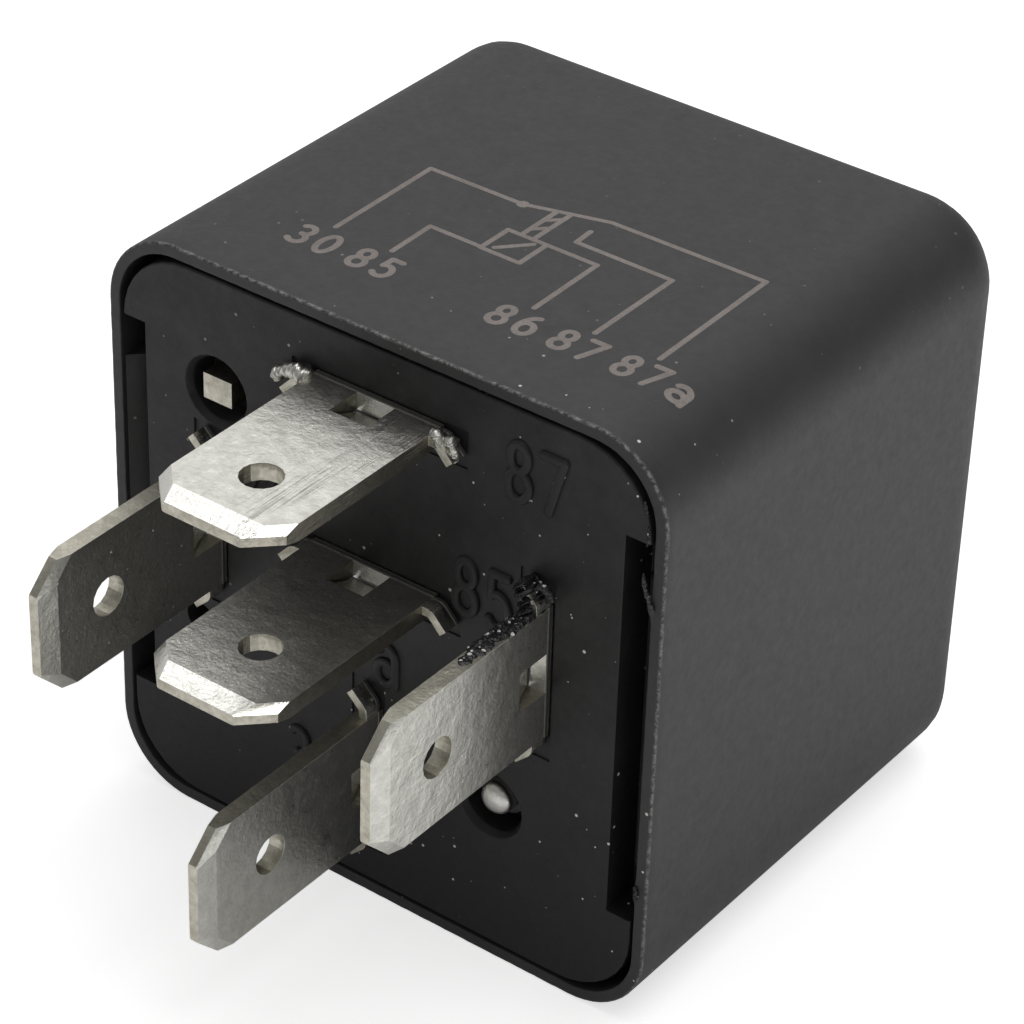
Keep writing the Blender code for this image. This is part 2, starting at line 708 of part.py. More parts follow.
def make_coil_terminal(name):
    """A coil blade with a necked post inside the case, which the winding's lead is soldered to."""
    terminal = make_terminal(name)
    blade = BLADES[name]
    low = POST_RISE - POST_WIDTH / 2
    high = POST_RISE + POST_WIDTH / 2
    top = BASE_THICK + POST_HEIGHT
    neck = LEAD_LEVEL + HELIX_LOW
    post = [
        (low, BASE_THICK / 2),
        (high, BASE_THICK / 2),
        (high, neck / 2 - POST_WIDTH / 2),
        (high - POST_NECK, neck / 2),
        (high, neck / 2 + POST_WIDTH / 2),
        (high, top),
        (low, top),
        (low, neck / 2 + POST_WIDTH / 2),
        (low + POST_NECK, neck / 2),
        (low, neck / 2 - POST_WIDTH / 2),
    ]
    join(terminal, "post", broad_side(blade, post, STRAP_THICK / 2))


def make_terminal_87():
    """The normally open blade: its strap rises and bends in under the moving contact."""
    terminal = make_terminal("87")
    blade = BLADES["87"]
    shelf = SHELF_87_HIGH - STRAP_THICK / 2
    path = [
        (BASE_THICK / 2, blade.z),
        (shelf, blade.z),
        (shelf, CONTACT_Z - SHELF_REACH),
    ]
    strap = ribbon(rounded(path, BEND_RADIUS + STRAP_THICK / 2, closed=False), STRAP_THICK)
    low = blade.x - STRAP_87_WIDTH / 2
    join(terminal, "strap", plate("YZ", [strap], low, low + STRAP_87_WIDTH))
    eye = drum(SHANK_RADIUS + PRESSED, -CUT_OVER, CUT_OVER, "Y", (0, shelf, CONTACT_Z), SMALL_STEPS)
    cut(terminal, "eye", eye)


def make_terminal_87a():
    """The normally closed blade: its strap crosses the base, rises and bends in over the contact."""
    terminal = make_terminal("87a")
    blade = BLADES["87a"]
    outer = STRAP_87A_MIDDLE - STRAP_87A_WIDTH / 2
    inner = STRAP_87A_MIDDLE + STRAP_87A_WIDTH / 2
    back = STRAP_87A_Z - STRAP_THICK / 2 - BEND_RADIUS
    turn_z = ANCHOR_Z - STRAP_87A_TURN
    foot = [
        (blade.x - STRAP_87A_FOOT / 2, blade.z - BLADE_THICK / 2),
        (blade.x + STRAP_87A_FOOT / 2, blade.z - BLADE_THICK / 2),
        (blade.x + STRAP_87A_FOOT / 2, turn_z),
        (blade.x, back),
        (outer, back),
        (outer, turn_z),
        (blade.x - STRAP_87A_FOOT / 2, turn_z),
    ]
    join(terminal, "foot", plate("XZ", [foot], STRAP_LOW, STRAP_HIGH))
    neck = rectangle(-STRAP_87A_FOOT / 2, STRAP_87A_FOOT / 2, BASE_THICK / 2, STRAP_HIGH)
    join(terminal, "neck", broad_side(blade, neck, STRAP_THICK / 2))
    low = STRAP_LOW + STRAP_THICK / 2
    shelf = SHELF_87A_LOW + STRAP_THICK / 2
    path = [
        (low, turn_z),
        (low, STRAP_87A_Z),
        (shelf, STRAP_87A_Z),
        (shelf, CONTACT_Z - SHELF_REACH),
    ]
    strap = ribbon(rounded(path, BEND_RADIUS + STRAP_THICK / 2, closed=False), STRAP_THICK)
    join(terminal, "strap", plate("YZ", [strap], outer, inner))
    shelf_end = [
        (STRAP_87A_MIDDLE, CONTACT_Z - SHELF_REACH),
        (SHELF_REACH, CONTACT_Z - SHELF_REACH),
        (SHELF_REACH, back),
        (STRAP_87A_MIDDLE, back),
    ]
    arm = rounded(shelf_end, SHELF_CORNER)
    join(terminal, "arm", plate("XZ", [arm], SHELF_87A_LOW, SHELF_87A_LOW + STRAP_THICK))
    eye = drum(SHANK_RADIUS + PRESSED, -CUT_OVER, CUT_OVER, "Y", (0, shelf, CONTACT_Z), SMALL_STEPS)
    cut(terminal, "eye", eye)
    anchor = block(
        (ANCHOR_X - ANCHOR_WIDTH / 2, METAL_RECESS, ANCHOR_Z - ANCHOR_THICK / 2),
        (ANCHOR_X + ANCHOR_WIDTH / 2, STRAP_LOW + OVERLAP, ANCHOR_Z + ANCHOR_THICK / 2),
    )
    join(terminal, "anchor", anchor)


# Magnet


def make_yoke():
    """An L of thick strip: a foot under the coil, an upright leg, and two ears beside the armature."""
    middle = YOKE_BACK_Z + YOKE_THICK / 2
    foot = YOKE_LOW + YOKE_THICK / 2
    path = [(POLE_FACE, middle), (foot, middle), (foot, YOKE_NOSE_Z)]
    strip = ribbon(rounded(path, YOKE_BEND + YOKE_THICK / 2, closed=False), YOKE_THICK)
    half = YOKE_WIDTH / 2
    yoke = piece("yoke", plate("YZ", [strip], -half, half), zinc_iron, frame)
    for side, name in ((1, "right"), (-1, "left")):
        nose = [
            (side * YOKE_NOSE_WIDTH / 2, YOKE_SHOULDER_Z),
            (side * (half + CUT_OVER), YOKE_SHOULDER_Z),
            (side * (half + CUT_OVER), YOKE_NOSE_Z + CUT_OVER),
            (side * YOKE_NOSE_WIDTH / 2, YOKE_NOSE_Z + CUT_OVER),
        ]
        cut(yoke, f"nose_{name}", plate("XZ", [nose], YOKE_LOW - CUT_OVER, YOKE_HIGH + CUT_OVER))
        inner = side * (ARMATURE_WIDTH / 2 + EAR_PLAY)
        ear = [
            (inner, POLE_FACE - YOKE_THICK),
            (side * half, POLE_FACE - YOKE_THICK),
            (side * half, POLE_FACE + EAR_HEIGHT),
            (inner, POLE_FACE + EAR_HEIGHT),
        ]
        join(yoke, f"ear_{name}", plate("XY", [ear], YOKE_BACK_Z, YOKE_BACK_Z + YOKE_THICK))
        place = (side * RIVET_SPREAD / 2, YOKE_RIVET_Y, middle)
        hole = drum(RIVET_RADIUS + PRESSED, -YOKE_THICK, YOKE_THICK, "Z", place, SMALL_STEPS)
        cut(yoke, f"hole_{name}", hole)
    centre = (0, foot, COIL_Z)
    cut(yoke, "core", drum(TAIL_RADIUS + PRESSED, -YOKE_THICK, YOKE_THICK, "Y", centre))
    centre = (FRAME_RIVET_X, foot, FRAME_RIVET_Z)
    hole = drum(FRAME_RIVET_RADIUS + PRESSED, -YOKE_THICK, YOKE_THICK, "Y", centre, SMALL_STEPS)
    cut(yoke, "stake", hole)


def make_core():
    """A turned pole: broad head, shank through the spool, and a tail riveted under the yoke's foot."""
    tail = YOKE_LOW - PRESSED
    profile = [
        (0, POLE_FACE),
        (POLE_RADIUS, POLE_FACE),
        (POLE_RADIUS, POLE_FACE - POLE_THICK),
        (CORE_RADIUS, POLE_FACE - POLE_THICK),
        (CORE_RADIUS, YOKE_HIGH + PRESSED),
        (TAIL_RADIUS, YOKE_HIGH + PRESSED),
        (TAIL_RADIUS, tail),
        (TAIL_HEAD_RADIUS, tail),
        (TAIL_HEAD_RADIUS - TAIL_HEAD_THICK, tail - TAIL_HEAD_THICK),
        (0, tail - TAIL_HEAD_THICK),
    ]
    piece("core", turned(profile, "Y", (0, 0, COIL_Z)), zinc_iron, frame)


def make_bobbin():
    """A spool: a tube round the core between two flanges."""
    bore = CORE_RADIUS + SEATED
    hub = bore + SPOOL_WALL
    profile = [
        (bore, SPOOL_HIGH),
        (FLANGE_RADIUS, SPOOL_HIGH),
        (FLANGE_RADIUS, SPOOL_HIGH - FLANGE_THICK),
        (hub, SPOOL_HIGH - FLANGE_THICK),
        (hub, SPOOL_LOW + FLANGE_THICK),
        (FLANGE_RADIUS, SPOOL_LOW + FLANGE_THICK),
        (FLANGE_RADIUS, SPOOL_LOW),
        (bore, SPOOL_LOW),
    ]
    piece("bobbin", turned(profile, "Y", (0, 0, COIL_Z), BROAD_STEPS), spool_plastic, frame)


def make_winding():
    """The inner layers as one barrel, the outer layer as a helix, and the lead of the inner end."""
    hub = CORE_RADIUS + SEATED + SPOOL_WALL + SEATED
    profile = [
        (hub, WINDING_HIGH),
        (LAYERS_RADIUS, WINDING_HIGH),
        (LAYERS_RADIUS, WINDING_LOW),
        (hub, WINDING_LOW),
    ]
    piece("coil_layers", turned(profile, "Y", (0, 0, COIL_Z), BROAD_STEPS), enamel, frame)
    outer = lead_points("85", HELIX_LOW)
    start = touch_angle("85")
    for step in range(1, TURN_POINTS * WIRE_TURNS + 1):
        turns = step / TURN_POINTS
        outer.append(on_coil(start + 2 * math.pi * turns, HELIX_LOW + WIRE_PITCH * turns))
    make_wire("coil_wire", outer)
    print("coil_wire, least gap to itself:", round(least_gap(outer) / MM, 3), "mm")
    inner = lead_points("86", LEAD_LEVEL)
    start = touch_angle("86")
    for step in range(1, LEAD_POINTS + 1):
        inner.append(on_coil(start - WIRE_LEAD_ARC * step / LEAD_POINTS, LEAD_LEVEL))
    make_wire("coil_lead", inner)


def least_gap(points):
    """The least space between stretches of a wire that lie half a turn or more apart along it."""
    apart = TURN_POINTS // 2
    pairs = [(first, second) for index, first in enumerate(points) for second in points[index + apart :]]
    return min((first - second).length for first, second in pairs) - 2 * WIRE_RADIUS


def on_coil(angle, level):
    """A point on the outer layer of the winding."""
    x = WIRE_PATH_RADIUS * math.cos(angle)
    z = COIL_Z + WIRE_PATH_RADIUS * math.sin(angle)
    return Vector((x, level, z))


def post_end(name):
    """Where a lead meets the inner side of its post."""
    blade = BLADES[name]
    inward = math.copysign(STRAP_THICK / 2 + SEATED + WIRE_RADIUS, -blade.x)
    return Vector((blade.x + inward, (LEAD_LEVEL + HELIX_LOW) / 2, blade.z + POST_RISE))


def touch_angle(name):
    """Where the straight lead from a post touches the round of the winding."""
    end = post_end(name)
    away = math.hypot(end.x, end.z - COIL_Z)
    spread = math.acos(WIRE_PATH_RADIUS / away)
    return math.atan2(end.z - COIL_Z, end.x) + math.copysign(spread, end.x)


def lead_points(name, level):
    """A lead from its post to the winding."""
    return [post_end(name), on_coil(touch_angle(name), level)]


def make_wire(name, points):
    """A round enamelled wire along its points."""
    curve = bpy.data.curves.new(name, "CURVE")
    curve.dimensions = "3D"
    curve.bevel_depth = WIRE_RADIUS
    curve.bevel_resolution = 1
    curve.use_fill_caps = True
    spline = curve.splines.new("POLY")
    spline.points.add(len(points) - 1)
    for point, place in zip(spline.points, points):
        point.co = (*place, 1)
    curve.materials.append(enamel)
    wire = bpy.data.objects.new(name, curve)
    wire.parent = frame
    parts.objects.link(wire)


def make_solder(name):
    """A low dome of solder on the outer side of a post."""
    blade = BLADES[name]
    outward = math.copysign(1, blade.x)
    face = STRAP_THICK / 2 + PRESSED
    profile = []
    for step in range(DOME_STEPS + 1):
        turn = math.pi / 2 * step / DOME_STEPS
        profile.append((SOLDER_RADIUS * math.sin(turn), outward * (face + SOLDER_HEIGHT * math.cos(turn))))
    profile.append((0, outward * face))
    centre = (blade.x, (LEAD_LEVEL + HELIX_LOW) / 2, blade.z + POST_RISE)
    piece(f"solder_{name}", turned(profile, "X", centre, SMALL_STEPS), solder, frame)


# Armature, spring and contacts


def make_armature():
    """A flat iron plate with a chamfered front, hinged on the yoke's edge."""
    half = ARMATURE_WIDTH / 2
    heel = SEATED
    front = ARMATURE_LENGTH
    outline = [
        (-half, heel),
        (half, heel),
        (half, front - ARMATURE_CHAMFER),
        (half - ARMATURE_CHAMFER, front),
        (-half + ARMATURE_CHAMFER, front),
        (-half, front - ARMATURE_CHAMFER),
    ]
    mesh = plate("XZ", [outline], ARMATURE_LOW, ARMATURE_HIGH)
    armature = piece("armature", mesh, zinc_iron, hinge)
    for side, name in ((1, "right"), (-1, "left")):
        centre = (side * RIVET_SPREAD / 2, 0, ARMATURE_RIVET_Z - YOKE_BACK_Z)
        hole = drum(RIVET_RADIUS + PRESSED, -CUT_OVER, ARMATURE_HIGH + CUT_OVER, "Y", centre, SMALL_STEPS)
        cut(armature, f"hole_{name}", hole)


def leaf_path():
    """The middle of the leaf's thickness as (height, reach) from the hinge line: along the
    armature, round the heel in an open bow, and down the back of the yoke."""
    level = (LEAF_LOW + LEAF_HIGH) / 2
    back = -PRESSED - LEAF_THICK / 2
    bow = back - LEAF_BULGE
    tail = -YOKE_RIVET_DROP - RIVET_HEAD_RADIUS - LEAF_TAIL
    down = [(-LEAF_BEND, bow), (-LEAF_BOW, back), (tail, back)]
    turn = Matrix.Rotation(OPEN_ANGLE, 2)
    down = [tuple(turn @ Vector(point)) for point in down]
    path = [(level, CONTACT_ARM + LEAF_END), (level, bow), *down]
    return rounded(path, LEAF_BEND, closed=False)


def make_contact_spring():
    """A bent leaf, narrowed towards the moving contact and pierced for its rivets."""
    half = LEAF_WIDTH / 2
    mesh = plate("YZ", [ribbon(leaf_path(), LEAF_THICK)], -half, half)
    spring = piece("contact_spring", mesh, spring_bronze, hinge)
    neck_z = LEAF_NECK_Z - YOKE_BACK_Z
    end_z = CONTACT_ARM + LEAF_END + CUT_OVER
    neck = LEAF_NECK_WIDTH / 2
    for side, name in ((1, "right"), (-1, "left")):
        waste = [
            (side * half, neck_z - (half - neck)),
            (side * (half + CUT_OVER), neck_z - (half - neck)),
            (side * (half + CUT_OVER), end_z),
            (side * neck, end_z),
            (side * neck, neck_z),
        ]
        cut(spring, f"waste_{name}", plate("XZ", [waste], ARMATURE_HIGH, LEAF_HIGH + CUT_OVER))
        centre = (side * RIVET_SPREAD / 2, 0, ARMATURE_RIVET_Z - YOKE_BACK_Z)
        hole = drum(RIVET_RADIUS + PRESSED, ARMATURE_LOW, LEAF_HIGH + CUT_OVER, "Y", centre, SMALL_STEPS)
        cut(spring, f"hole_{name}", hole)
        centre = open_turn() @ Vector((side * RIVET_SPREAD / 2, YOKE_RIVET_Y - POLE_FACE, 0))
        hole = drum(RIVET_RADIUS + 2 * PRESSED, -LEAF_BULGE, LEAF_BULGE, "Z", centre, SMALL_STEPS)
        cut(spring, f"tail_hole_{name}", hole)
    centre = (0, 0, CONTACT_ARM)
    eye = drum(SHANK_RADIUS + PRESSED, ARMATURE_LOW, LEAF_HIGH + CUT_OVER, "Y", centre, SMALL_STEPS)
    cut(spring, "eye", eye)


def open_turn():
    """Turns a place on the fixed frame into the frame of the swung armature."""
    return Matrix.Rotation(OPEN_ANGLE, 3, "X")


def make_moving_contact():
    """A double-headed rivet of contact metal through the end of the leaf."""
    over = LEAF_HIGH + PRESSED
    under = LEAF_LOW - PRESSED
    top = crown(CONTACT_RADIUS, over + CONTACT_THICK, CONTACT_OVER)
    bottom = crown(CONTACT_RADIUS, under - CONTACT_THICK, CONTACT_UNDER)
    profile = [
        *top,
        (CONTACT_RADIUS, over),
        (SHANK_RADIUS, over),
        (SHANK_RADIUS, under),
        (CONTACT_RADIUS, under),
        *bottom[::-1],
    ]
    piece("moving_contact", turned(profile, "Y", (0, 0, CONTACT_ARM)), contact_silver, hinge)


def make_fixed_contact(name, face, way):
    """A contact rivet: a flat head at its face, a shank through the strap and a formed tail."""
    head = face - way * CONTACT_THICK
    strap = head - way * PRESSED
    tail = strap - way * (STRAP_THICK + PRESSED)
    end = tail - way * RIVET_HEAD_THICK / 2
    profile = [
        (0, face),
        (CONTACT_RADIUS, face),
        (CONTACT_RADIUS, head),
        (SHANK_RADIUS, head),
        (SHANK_RADIUS, tail),
        (RIVET_HEAD_RADIUS, tail),
        (SHANK_RADIUS, end),
        (0, end),
    ]
    piece(name, turned(profile, "Y", (0, 0, CONTACT_Z)), contact_silver, frame)


def make_rivet(name, axis, centre, head, flush, carrier):
    """A rivet with one round head, its other end flush: head and flush are heights along its axis."""
    way = math.copysign(1, head - flush)
    top = head + way * RIVET_HEAD_THICK
    profile = [
        (0, top),
        (RIVET_CROWN_RADIUS, top),
        (RIVET_HEAD_RADIUS, head + way * RIVET_HEAD_THICK / 2),
        (RIVET_HEAD_RADIUS, head),
        (RIVET_RADIUS, head),
        (RIVET_RADIUS, flush),
        (0, flush),
    ]
    piece(name, turned(profile, axis, centre, SMALL_STEPS), rivet_steel, carrier)


def make_rivets():
    """Two rivets through leaf and armature, two through leaf and yoke, and the domed frame rivet."""
    for side, name in ((1, "right"), (-1, "left")):
        x = side * RIVET_SPREAD / 2
        reach = ARMATURE_RIVET_Z - YOKE_BACK_Z
        head = LEAF_HIGH + PRESSED
        make_rivet(f"armature_rivet_{name}", "Y", (x, 0, reach), head, ARMATURE_LOW + PRESSED, hinge)
        head = YOKE_BACK_Z - 2 * PRESSED - LEAF_THICK
        flush = YOKE_BACK_Z + YOKE_THICK - PRESSED
        make_rivet(f"yoke_rivet_{name}", "Z", (x, YOKE_RIVET_Y, 0), head, flush, frame)
    floor = PIT_DEPTH - PRESSED
    collar = floor - RIVET_HEAD_THICK
    profile = [
        (0, YOKE_HIGH - PRESSED),
        (FRAME_RIVET_RADIUS, YOKE_HIGH - PRESSED),
        (FRAME_RIVET_RADIUS, floor),
        (FRAME_RIVET_COLLAR, floor),
        (FRAME_RIVET_COLLAR, collar),
        (FRAME_RIVET_RADIUS, collar),
    ]
    for step in reversed(range(DOME_STEPS + 1)):
        turn = math.pi / 2 * step / DOME_STEPS
        drop = FRAME_RIVET_DOME * (1 - math.cos(turn))
        profile.append((FRAME_RIVET_RADIUS * math.sin(turn), METAL_RECESS + drop))
    mesh = turned(profile, "Y", (FRAME_RIVET_X, 0, FRAME_RIVET_Z), SMALL_STEPS)
    piece("frame_rivet", mesh, rivet_steel, frame)


clear_scene()
parts = new_collection("plug_in_relay")
tools = new_collection("cutters")

black_plastic = finish("case_plastic", (0.022, 0.021, 0.021), 0.55, 0.0)
base_plastic = finish("base_plastic", (0.016, 0.015, 0.016), 0.5, 0.0)
spool_plastic = finish("spool_plastic", (0.62, 0.6, 0.54), 0.55, 0.0)
tinned_brass = finish("tinned_brass", (0.72, 0.7, 0.66), 0.32, 1.0)
zinc_iron = finish("zinc_iron", (0.55, 0.56, 0.57), 0.4, 1.0)
spring_bronze = finish("spring_bronze", (0.75, 0.5, 0.3), 0.35, 1.0)
contact_silver = finish("contact_silver", (0.85, 0.84, 0.8), 0.3, 1.0)
rivet_steel = finish("rivet_steel", (0.6, 0.6, 0.6), 0.38, 1.0)
enamel = finish("enamelled_copper", (0.45, 0.16, 0.06), 0.35, 0.4)
solder = finish("solder", (0.62, 0.63, 0.64), 0.3, 1.0)

frame = pivot("relay_frame", (0, 0, 0))
hinge = pivot("armature_hinge", HINGE)
hinge.parent = frame
hinge.rotation_euler = (-OPEN_ANGLE, 0, 0)

make_case()
make_base()
make_terminal_30()
make_coil_terminal("85")
make_coil_terminal("86")
make_terminal_87()
make_terminal_87a()
make_yoke()
make_core()
make_bobbin()
make_winding()
make_solder("85")
make_solder("86")
make_armature()
make_contact_spring()
make_moving_contact()
make_fixed_contact("contact_87", OPEN_FACE, 1)
make_fixed_contact("contact_87a", CLOSED_FACE, -1)
make_rivets()
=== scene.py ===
# %% [markdown]
# # A plug-in relay lying on its side
# The part is a small black box with five flat blades. Its solid model is packed already, with
# every piece in its place, so this lesson loads that model and works on looks: rounder edges,
# moulded numbers, a laser marking, scratched tin and a few shavings.

import bmesh
import bpy
import numpy as np
from mathutils import Matrix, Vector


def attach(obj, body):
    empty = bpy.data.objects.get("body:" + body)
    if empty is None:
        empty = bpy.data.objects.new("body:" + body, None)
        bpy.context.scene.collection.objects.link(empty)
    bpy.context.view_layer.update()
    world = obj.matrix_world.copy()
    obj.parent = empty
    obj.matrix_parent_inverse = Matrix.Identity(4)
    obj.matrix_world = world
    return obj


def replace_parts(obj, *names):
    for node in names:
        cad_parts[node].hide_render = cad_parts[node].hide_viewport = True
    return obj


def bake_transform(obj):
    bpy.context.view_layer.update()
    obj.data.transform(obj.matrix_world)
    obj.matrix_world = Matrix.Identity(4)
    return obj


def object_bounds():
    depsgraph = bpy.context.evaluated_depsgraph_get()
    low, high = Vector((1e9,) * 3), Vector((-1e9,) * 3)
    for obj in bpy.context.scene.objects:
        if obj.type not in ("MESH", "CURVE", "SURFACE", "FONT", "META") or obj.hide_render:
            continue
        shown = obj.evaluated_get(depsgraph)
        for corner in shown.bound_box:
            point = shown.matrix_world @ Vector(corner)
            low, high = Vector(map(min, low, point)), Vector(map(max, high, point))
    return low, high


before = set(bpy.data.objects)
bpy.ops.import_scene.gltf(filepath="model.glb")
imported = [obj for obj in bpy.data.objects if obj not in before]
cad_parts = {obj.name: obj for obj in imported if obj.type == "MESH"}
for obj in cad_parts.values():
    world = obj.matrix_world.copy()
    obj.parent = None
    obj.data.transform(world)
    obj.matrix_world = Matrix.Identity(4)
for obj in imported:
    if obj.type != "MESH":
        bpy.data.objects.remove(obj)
cad_box = [list(corner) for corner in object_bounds()]
MM = 0.001
print("pieces of the solid model:", len(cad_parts))

# %% [markdown]
# ## The camera
# The picture was taken from the front right, from about a third of the way up, with a long lens.
# The camera could be aimed with a constraint, but a matrix made of three unit directions says
# the same thing in one step: right, up and backwards are its columns.

# %% Set the camera
AZIMUTH, ELEVATION, ROLL = np.radians([36.052, 34.057, 1.87])
CAMERA_PLACE = (0.079124, -0.099412, 0.091678)
LENS = 135.09


def camera_turn():
    """Backwards follows from azimuth and elevation, right is level, up completes the three, and
    the roll turns right and up about backwards."""
    flat = np.cos(ELEVATION)
    back = np.array([np.sin(AZIMUTH) * flat, -np.cos(AZIMUTH) * flat, np.sin(ELEVATION)])
    right = np.cross([0, 0, 1], back)
    right /= np.linalg.norm(right)
    up = np.cross(back, right)
    across = np.cos(ROLL) * right + np.sin(ROLL) * up
    upright = np.cos(ROLL) * up - np.sin(ROLL) * right
    return np.stack([across, upright, back], axis=1)


camera = bpy.data.objects.new("camera", bpy.data.cameras.new("camera"))
camera.data.lens = LENS
camera.data.sensor_width = 36
camera.data.clip_start = 0.01
camera.matrix_world = Matrix.Translation(CAMERA_PLACE) @ Matrix(camera_turn().tolist()).to_4x4()
bpy.context.scene.collection.objects.link(camera)
bpy.context.scene.camera = camera
bpy.context.scene.view_settings.view_transform = "Standard"
print("camera at", [round(value / MM, 1) for value in camera.location], "mm")

# %% [markdown]
# ## Nodes in fewer words
# Materials are graphs of nodes. Two small helpers keep the later cells short: one adds a node and
# fills or links its sockets by name, the other does arithmetic on two sockets or numbers.


# %% Node helpers
def feed(tree, socket, value):
    """Links a socket to another one, or gives it a plain value."""
    if isinstance(value, bpy.types.NodeSocket):
        tree.links.new(value, socket)
    else:
        socket.default_value = value


def add(tree, kind, settings=(), **sockets):
    """A new node, its settings as pairs, its sockets by name with _ for a space."""
    made = tree.nodes.new("ShaderNode" + kind)
    for name, value in settings:
        setattr(made, name, value)
    for name, value in sockets.items():
        feed(tree, made.inputs[name.replace("_", " ")], value)
    return made


def calc(tree, operation, *values):
    """The result of a Math node on one to three values."""
    made = add(tree, "Math", [("operation", operation)])
    for socket, value in zip(made.inputs, values):
        feed(tree, socket, value)
    return made.outputs[0]


def mix_colour(tree, share, first, second):
    """A colour that goes from first to second as share goes from 0 to 1."""
    made = add(tree, "Mix", [("data_type", "RGBA")])
    for index, value in ((0, share), (6, first), (7, second)):
        feed(tree, made.inputs[index], value)
    return made.outputs[2]


def remap(tree, value, low, high, to_low=0.0, to_high=1.0):
    """A value's range from low to high, stretched to another range and held inside it."""
    made = add(tree, "MapRange", Value=value, From_Min=low, From_Max=high)
    made.inputs["To Min"].default_value = to_low
    made.inputs["To Max"].default_value = to_high
    return made.outputs["Result"]


print("helpers:", feed.__name__, add.__name__, calc.__name__, mix_colour.__name__, remap.__name__)

# %% [markdown]
# ## Floor, world and lamps
# The relay lies on white paper in soft light. A bright panel stands behind it on the left, which
# the top of the case mirrors, a small one above that catches the bevels of the tips, and a wide one
# hangs overhead. The far right stays dim, and that dimness draws the dark line along the rounded
# edge. The paper adds its own white only for rays that go to the viewer, straight or by a mirror,
# so the light on the object stays plain and the shadow stays on the paper. For mirrors the paper's
# glow is also a painted shade: it is dimmed close beside the object's right and in front of it, and
# graded brighter towards the back right.

# %% Paper floor
FLOOR_LEVEL = cad_box[0][2] / MM - 0.02
FLOOR_HALF = 900.0
VIEWER_GLOW = 0.62


def paper_floor():
    """Height is level everywhere: a square grid of points at the level of the object's lowest."""
    run = np.linspace(-FLOOR_HALF, FLOOR_HALF, 13)
    x, y = np.meshgrid(run, run, indexing="ij")
    points = np.stack([x, y, np.full_like(x, FLOOR_LEVEL)], axis=-1).reshape(-1, 3)
    index = np.arange(points.shape[0]).reshape(x.shape)
    faces = np.stack([index[:-1, :-1], index[1:, :-1], index[1:, 1:], index[:-1, 1:]], axis=-1)
    mesh = bpy.data.meshes.new("paper_floor")
    mesh.from_pydata((points * MM).tolist(), [], faces.reshape(-1, 4).tolist())
    return bpy.data.objects.new("paper_floor", mesh)


def mirror_ray(path):
    """One for a ray that left a glossy or a clear surface."""
    rays = [path.outputs["Is Glossy Ray"], path.outputs["Is Transmission Ray"]]
    return calc(path.id_data, "MAXIMUM", *rays)


paper = bpy.data.materials.new("paper")
paper.use_nodes = True
tree = paper.node_tree
tree.nodes.clear()
place = add(tree, "TexCoord").outputs["Object"]
fibre = add(tree, "TexNoise", Vector=place, Scale=400.0, Detail=3.0)
tint = mix_colour(tree, fibre.outputs["Fac"], (0.78, 0.78, 0.78, 1), (0.82, 0.82, 0.82, 1))
lit = add(tree, "BsdfDiffuse", Color=tint)
behind = add(tree, "VectorMath", [("operation", "DOT_PRODUCT")], Vector=place)
behind.inputs[1].default_value = (0.62, 0.78, 0.0)
path = add(tree, "LightPath")
spot = add(tree, "SeparateXYZ", Vector=place)
# Painted shade in reflections: the glow that mirrors see is dimmed close beside the object's right and in
# front of it, and graded brighter towards the back right.
beside = remap(tree, spot.outputs["X"], 0.014, 0.024, 0.1, 1.0)
ahead = remap(tree, spot.outputs["Y"], -0.005, -0.015)
mirror_glow = remap(tree, behind.outputs["Value"], -0.03, 0.05, 0.32, 0.55)
mirror_share = calc(tree, "MULTIPLY", mirror_ray(path), mirror_glow)
mirror_share = calc(tree, "MULTIPLY", mirror_share, calc(tree, "MAXIMUM", beside, ahead))
glow_share = calc(tree, "MULTIPLY_ADD", path.outputs["Is Camera Ray"], VIEWER_GLOW, mirror_share)
glow = add(tree, "Emission", Color=(1, 1, 1, 1), Strength=glow_share)
shown = add(tree, "AddShader")
feed(tree, shown.inputs[0], lit.outputs[0])
feed(tree, shown.inputs[1], glow.outputs[0])
tree.links.new(shown.outputs[0], add(tree, "OutputMaterial").inputs["Surface"])

floor = paper_floor()
floor.data.materials.append(paper)
bpy.context.scene.collection.objects.link(floor)
print("floor at", round(FLOOR_LEVEL, 2), "mm")

# %% World and lamps
FILL = 0.42
world = bpy.data.worlds.new("studio")
bpy.context.scene.world = world
world.use_nodes = True
tree = world.node_tree
tree.nodes.clear()
direction = add(tree, "TexCoord").outputs["Generated"]
aim = add(tree, "VectorMath", [("operation", "DOT_PRODUCT")], Vector=direction)
aim.inputs[1].default_value = (-0.62, 0.55, 0.56)
mirrored = remap(tree, aim.outputs["Value"], 0.3, 0.95, 0.25, 0.55)
path = add(tree, "LightPath")
plain = calc(tree, "MULTIPLY_ADD", mirror_ray(path), calc(tree, "SUBTRACT", mirrored, FILL), FILL)
strength = calc(tree, "MAXIMUM", plain, path.outputs["Is Camera Ray"])
sky = add(tree, "Background", Color=(1, 1, 1, 1), Strength=strength)
tree.links.new(sky.outputs[0], add(tree, "OutputWorld").inputs["Surface"])


def panel(name, place, size, radiance):
    """A soft lamp facing the object. Its power is radiance times pi times its area."""
    lamp = bpy.data.lights.new(name, "AREA")
    lamp.shape = "RECTANGLE"
    lamp.size, lamp.size_y = size
    lamp.energy = radiance * np.pi * size[0] * size[1]
    holder = bpy.data.objects.new(name, lamp)
    back = np.array(place) / np.linalg.norm(place)
    right = np.cross([0.0, 1.0, 0.0] if abs(back[2]) > 0.95 else [0.0, 0.0, 1.0], back)
    right /= np.linalg.norm(right)
    turn = np.stack([right, np.cross(back, right), back], axis=1)
    holder.matrix_world = Matrix.Translation(place) @ Matrix(turn.tolist()).to_4x4()
    bpy.context.scene.collection.objects.link(holder)
    print(name, "power", round(lamp.energy, 3), "W")


